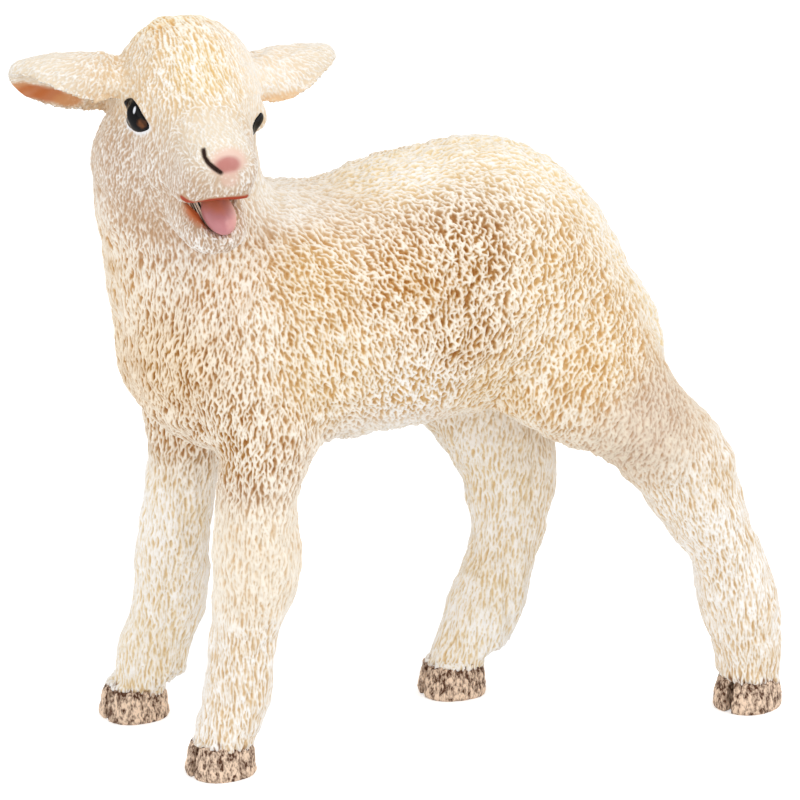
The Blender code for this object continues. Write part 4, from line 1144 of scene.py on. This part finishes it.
def rough_hoof(node):
    """The hoof with a rough face and a flat sole, drawn in where the hair hangs over it."""
    made = voxel_skin(cad_copy((node,)), "horn", HOOF_VOXEL)
    even_out(made.data, HOOF_SMOOTHING, HOOF_SMOOTHING_SHARE)
    spots, facing = points_of(made.data), normals_of(made.data)
    grains = spots * (HOOF_GRAIN, HOOF_GRAIN, HOOF_GRAIN * HOOF_GRAIN_DRAW)
    rough = np.array([noise.fractal(Vector(grain), *HOOF_FRACTAL) for grain in grains])
    fade = np.clip(spots[:, 2] / SOLE_FADE, 0.0, 1.0)
    under = HOOF_UNDER_HAIR * np.clip(over_hem(spots, *foot(node))[1] / HEM_FADE, 0.0, 1.0)
    spots = narrow_feet(spots + facing * (HOOF_ROUGHNESS * rough * fade - under)[:, None])
    move_points(made.data, spots / MILLIMETRES)
    store(made.data, "crest", "FLOAT", np.clip(0.5 + rough, 0.0, 1.0))
    shade_smooth(made.data)
    made.data.materials.append(HOOF_PAINT)
    return made


HOOF_PAINT = hoof_paint()
for node in HOOVES:
    finish_piece(rough_hoof(node), node + "_horn", (node,))

# The tongue
# A soft rounded tongue lies in the open mouth. It is painted satin pink, with a violet tint down its
# middle, a pale edge and a brown root.
TONGUE_VOXEL = 0.10
TONGUE_SMOOTHING, TONGUE_SMOOTHING_SHARE = 4, 0.5
TONGUE_WIDENING = 0.18
TONGUE_SHIFT = 0.12
TONGUE_CLOUD, CLOUD_REACH = (1100.0, 2.0), 0.0012
TONGUE_PINK, TONGUE_EDGE_PINK, TONGUE_ROOT_BROWN = (194, 126, 130), (234, 176, 166), (214, 120, 78)
TONGUE_EDGE = (-0.0148, -0.0139)
TONGUE_ROOT = (0.0381, 0.0391)
TONGUE_GRAIN = (4000.0, 2.0)
TONGUE_BUMP = (0.2, 0.00005)
TONGUE_ROUGHNESS = 0.38


def tongue_paint():
    """Satin pink, paler at its edge and browner at its root, with cloudy borders."""
    made, tree, inputs, spot = new_paint("tongue_pink")
    sides = put(tree, "ShaderNodeSeparateXYZ", {0: spot}).outputs
    cloud = maths(tree, "SUBTRACT", cloud_at(tree, spot, *TONGUE_CLOUD), 0.5)
    cloud = maths(tree, "MULTIPLY", cloud, CLOUD_REACH)
    colour = shade(TONGUE_PINK)
    for side, reach, paint in ((sides[1], TONGUE_EDGE, TONGUE_EDGE_PINK),
                               (sides[2], TONGUE_ROOT, TONGUE_ROOT_BROWN)):
        share = ramp(tree, maths(tree, "ADD", side, cloud), *reach)
        colour = blended(tree, share, colour, shade(paint))
    tree.links.new(colour, inputs["Base Color"])
    add_bump(tree, inputs, cloud_at(tree, spot, *TONGUE_GRAIN), *TONGUE_BUMP)
    inputs["Roughness"].default_value = TONGUE_ROUGHNESS
    return made


tongue = voxel_skin(cad_copy(("tongue",)), "tongue", TONGUE_VOXEL)
even_out(tongue.data, TONGUE_SMOOTHING, TONGUE_SMOOTHING_SHARE)
across = as_world(HEAD_ACROSS)
spots = points_of(tongue.data)
spots += np.outer((spots - spots.mean(axis=0)) @ across * TONGUE_WIDENING + TONGUE_SHIFT, across)
move_points(tongue.data, spots / MILLIMETRES)
shade_smooth(tongue.data)
tongue.data.materials.append(tongue_paint())
finish_piece(tongue, "tongue_soft", ("tongue",))

# The setting
# A plain white sweep under two soft lamps, seen from the photograph's own place. The floor glows and the
# sky is brighter where the camera sees them, so that both show as plain white.
FLOOR_SPAN = 6.0
FLOOR_WHITE = (0.9, 0.9, 0.9, 1.0)
FLOOR_ROUGHNESS = 0.9
FLOOR_GLOW = 0.45
SKY_GLOW = 0.86
PURE_WHITE = (1.0, 1.0, 1.0, 1.0)
LAMPS = (
    # name, place, size across, watts
    ("key", (0.35, 0.30, 0.55), 0.25, 1.05),
    ("fill", (0.45, -0.55, 0.25), 0.5, 0.80),
)
CAMERA_TARGET = Vector((0.008725, -0.003263, 0.025))
CAMERA_TURN = math.radians(22.0)
CAMERA_RISE = math.radians(17.0)
CAMERA_AWAY = 0.380
CAMERA_LENS = 273.6
CAMERA_SENSOR = 36.0
CAMERA_NEAREST = 0.01


def seen_directly(tree):
    """1 where the camera sees a surface, also in a reflection or through glass, and 0 for its light."""
    path = put(tree, "ShaderNodeLightPath").outputs
    seen = maths(tree, "MAXIMUM", path["Is Camera Ray"], path["Is Glossy Ray"])
    return maths(tree, "MAXIMUM", seen, path["Is Transmission Ray"])


def white_sweep():
    mesh = bpy.data.meshes.new("floor")
    half = FLOOR_SPAN / 2.0
    corners = [(-half, -half, 0.0), (half, -half, 0.0), (half, half, 0.0), (-half, half, 0.0)]
    mesh.from_pydata(corners, [], [(0, 1, 2, 3)])
    paint, tree, inputs, _ = new_paint("floor_white")
    inputs["Base Color"].default_value = FLOOR_WHITE
    inputs["Roughness"].default_value = FLOOR_ROUGHNESS
    inputs["Emission Color"].default_value = PURE_WHITE
    tree.links.new(maths(tree, "MULTIPLY", seen_directly(tree), FLOOR_GLOW), inputs["Emission Strength"])
    mesh.materials.append(paint)
    placed("floor", mesh)


def soft_lamp(name, place, size, watts):
    lamp = bpy.data.lights.new(name, "AREA")
    lamp.shape = "DISK"
    lamp.size = size
    lamp.energy = watts
    made = placed(name, lamp)
    made.location = place
    made.rotation_euler = (CAMERA_TARGET - Vector(place)).to_track_quat("-Z", "Y").to_euler()


def studio():
    world = bpy.data.worlds.new("studio")
    bpy.context.scene.world = world
    world.use_nodes = True
    tree = world.node_tree
    sky = tree.nodes["Background"].inputs
    sky["Color"].default_value = PURE_WHITE
    tree.links.new(maths(tree, "MAXIMUM", seen_directly(tree), SKY_GLOW), sky["Strength"])
    for lamp in LAMPS:
        soft_lamp(*lamp)


def photo_camera():
    lens = bpy.data.cameras.new("camera")
    lens.sensor_width = CAMERA_SENSOR
    lens.lens = CAMERA_LENS
    lens.clip_start = CAMERA_NEAREST
    made = placed("camera", lens)
    back = Vector((math.cos(CAMERA_TURN) * math.cos(CAMERA_RISE),
                   -math.sin(CAMERA_TURN) * math.cos(CAMERA_RISE), math.sin(CAMERA_RISE)))
    made.location = CAMERA_TARGET + back * CAMERA_AWAY
    made.rotation_euler = back.to_track_quat("Z", "Y").to_euler()
    bpy.context.scene.camera = made


white_sweep()
studio()
photo_camera()
bpy.context.scene.view_settings.view_transform = "Standard"
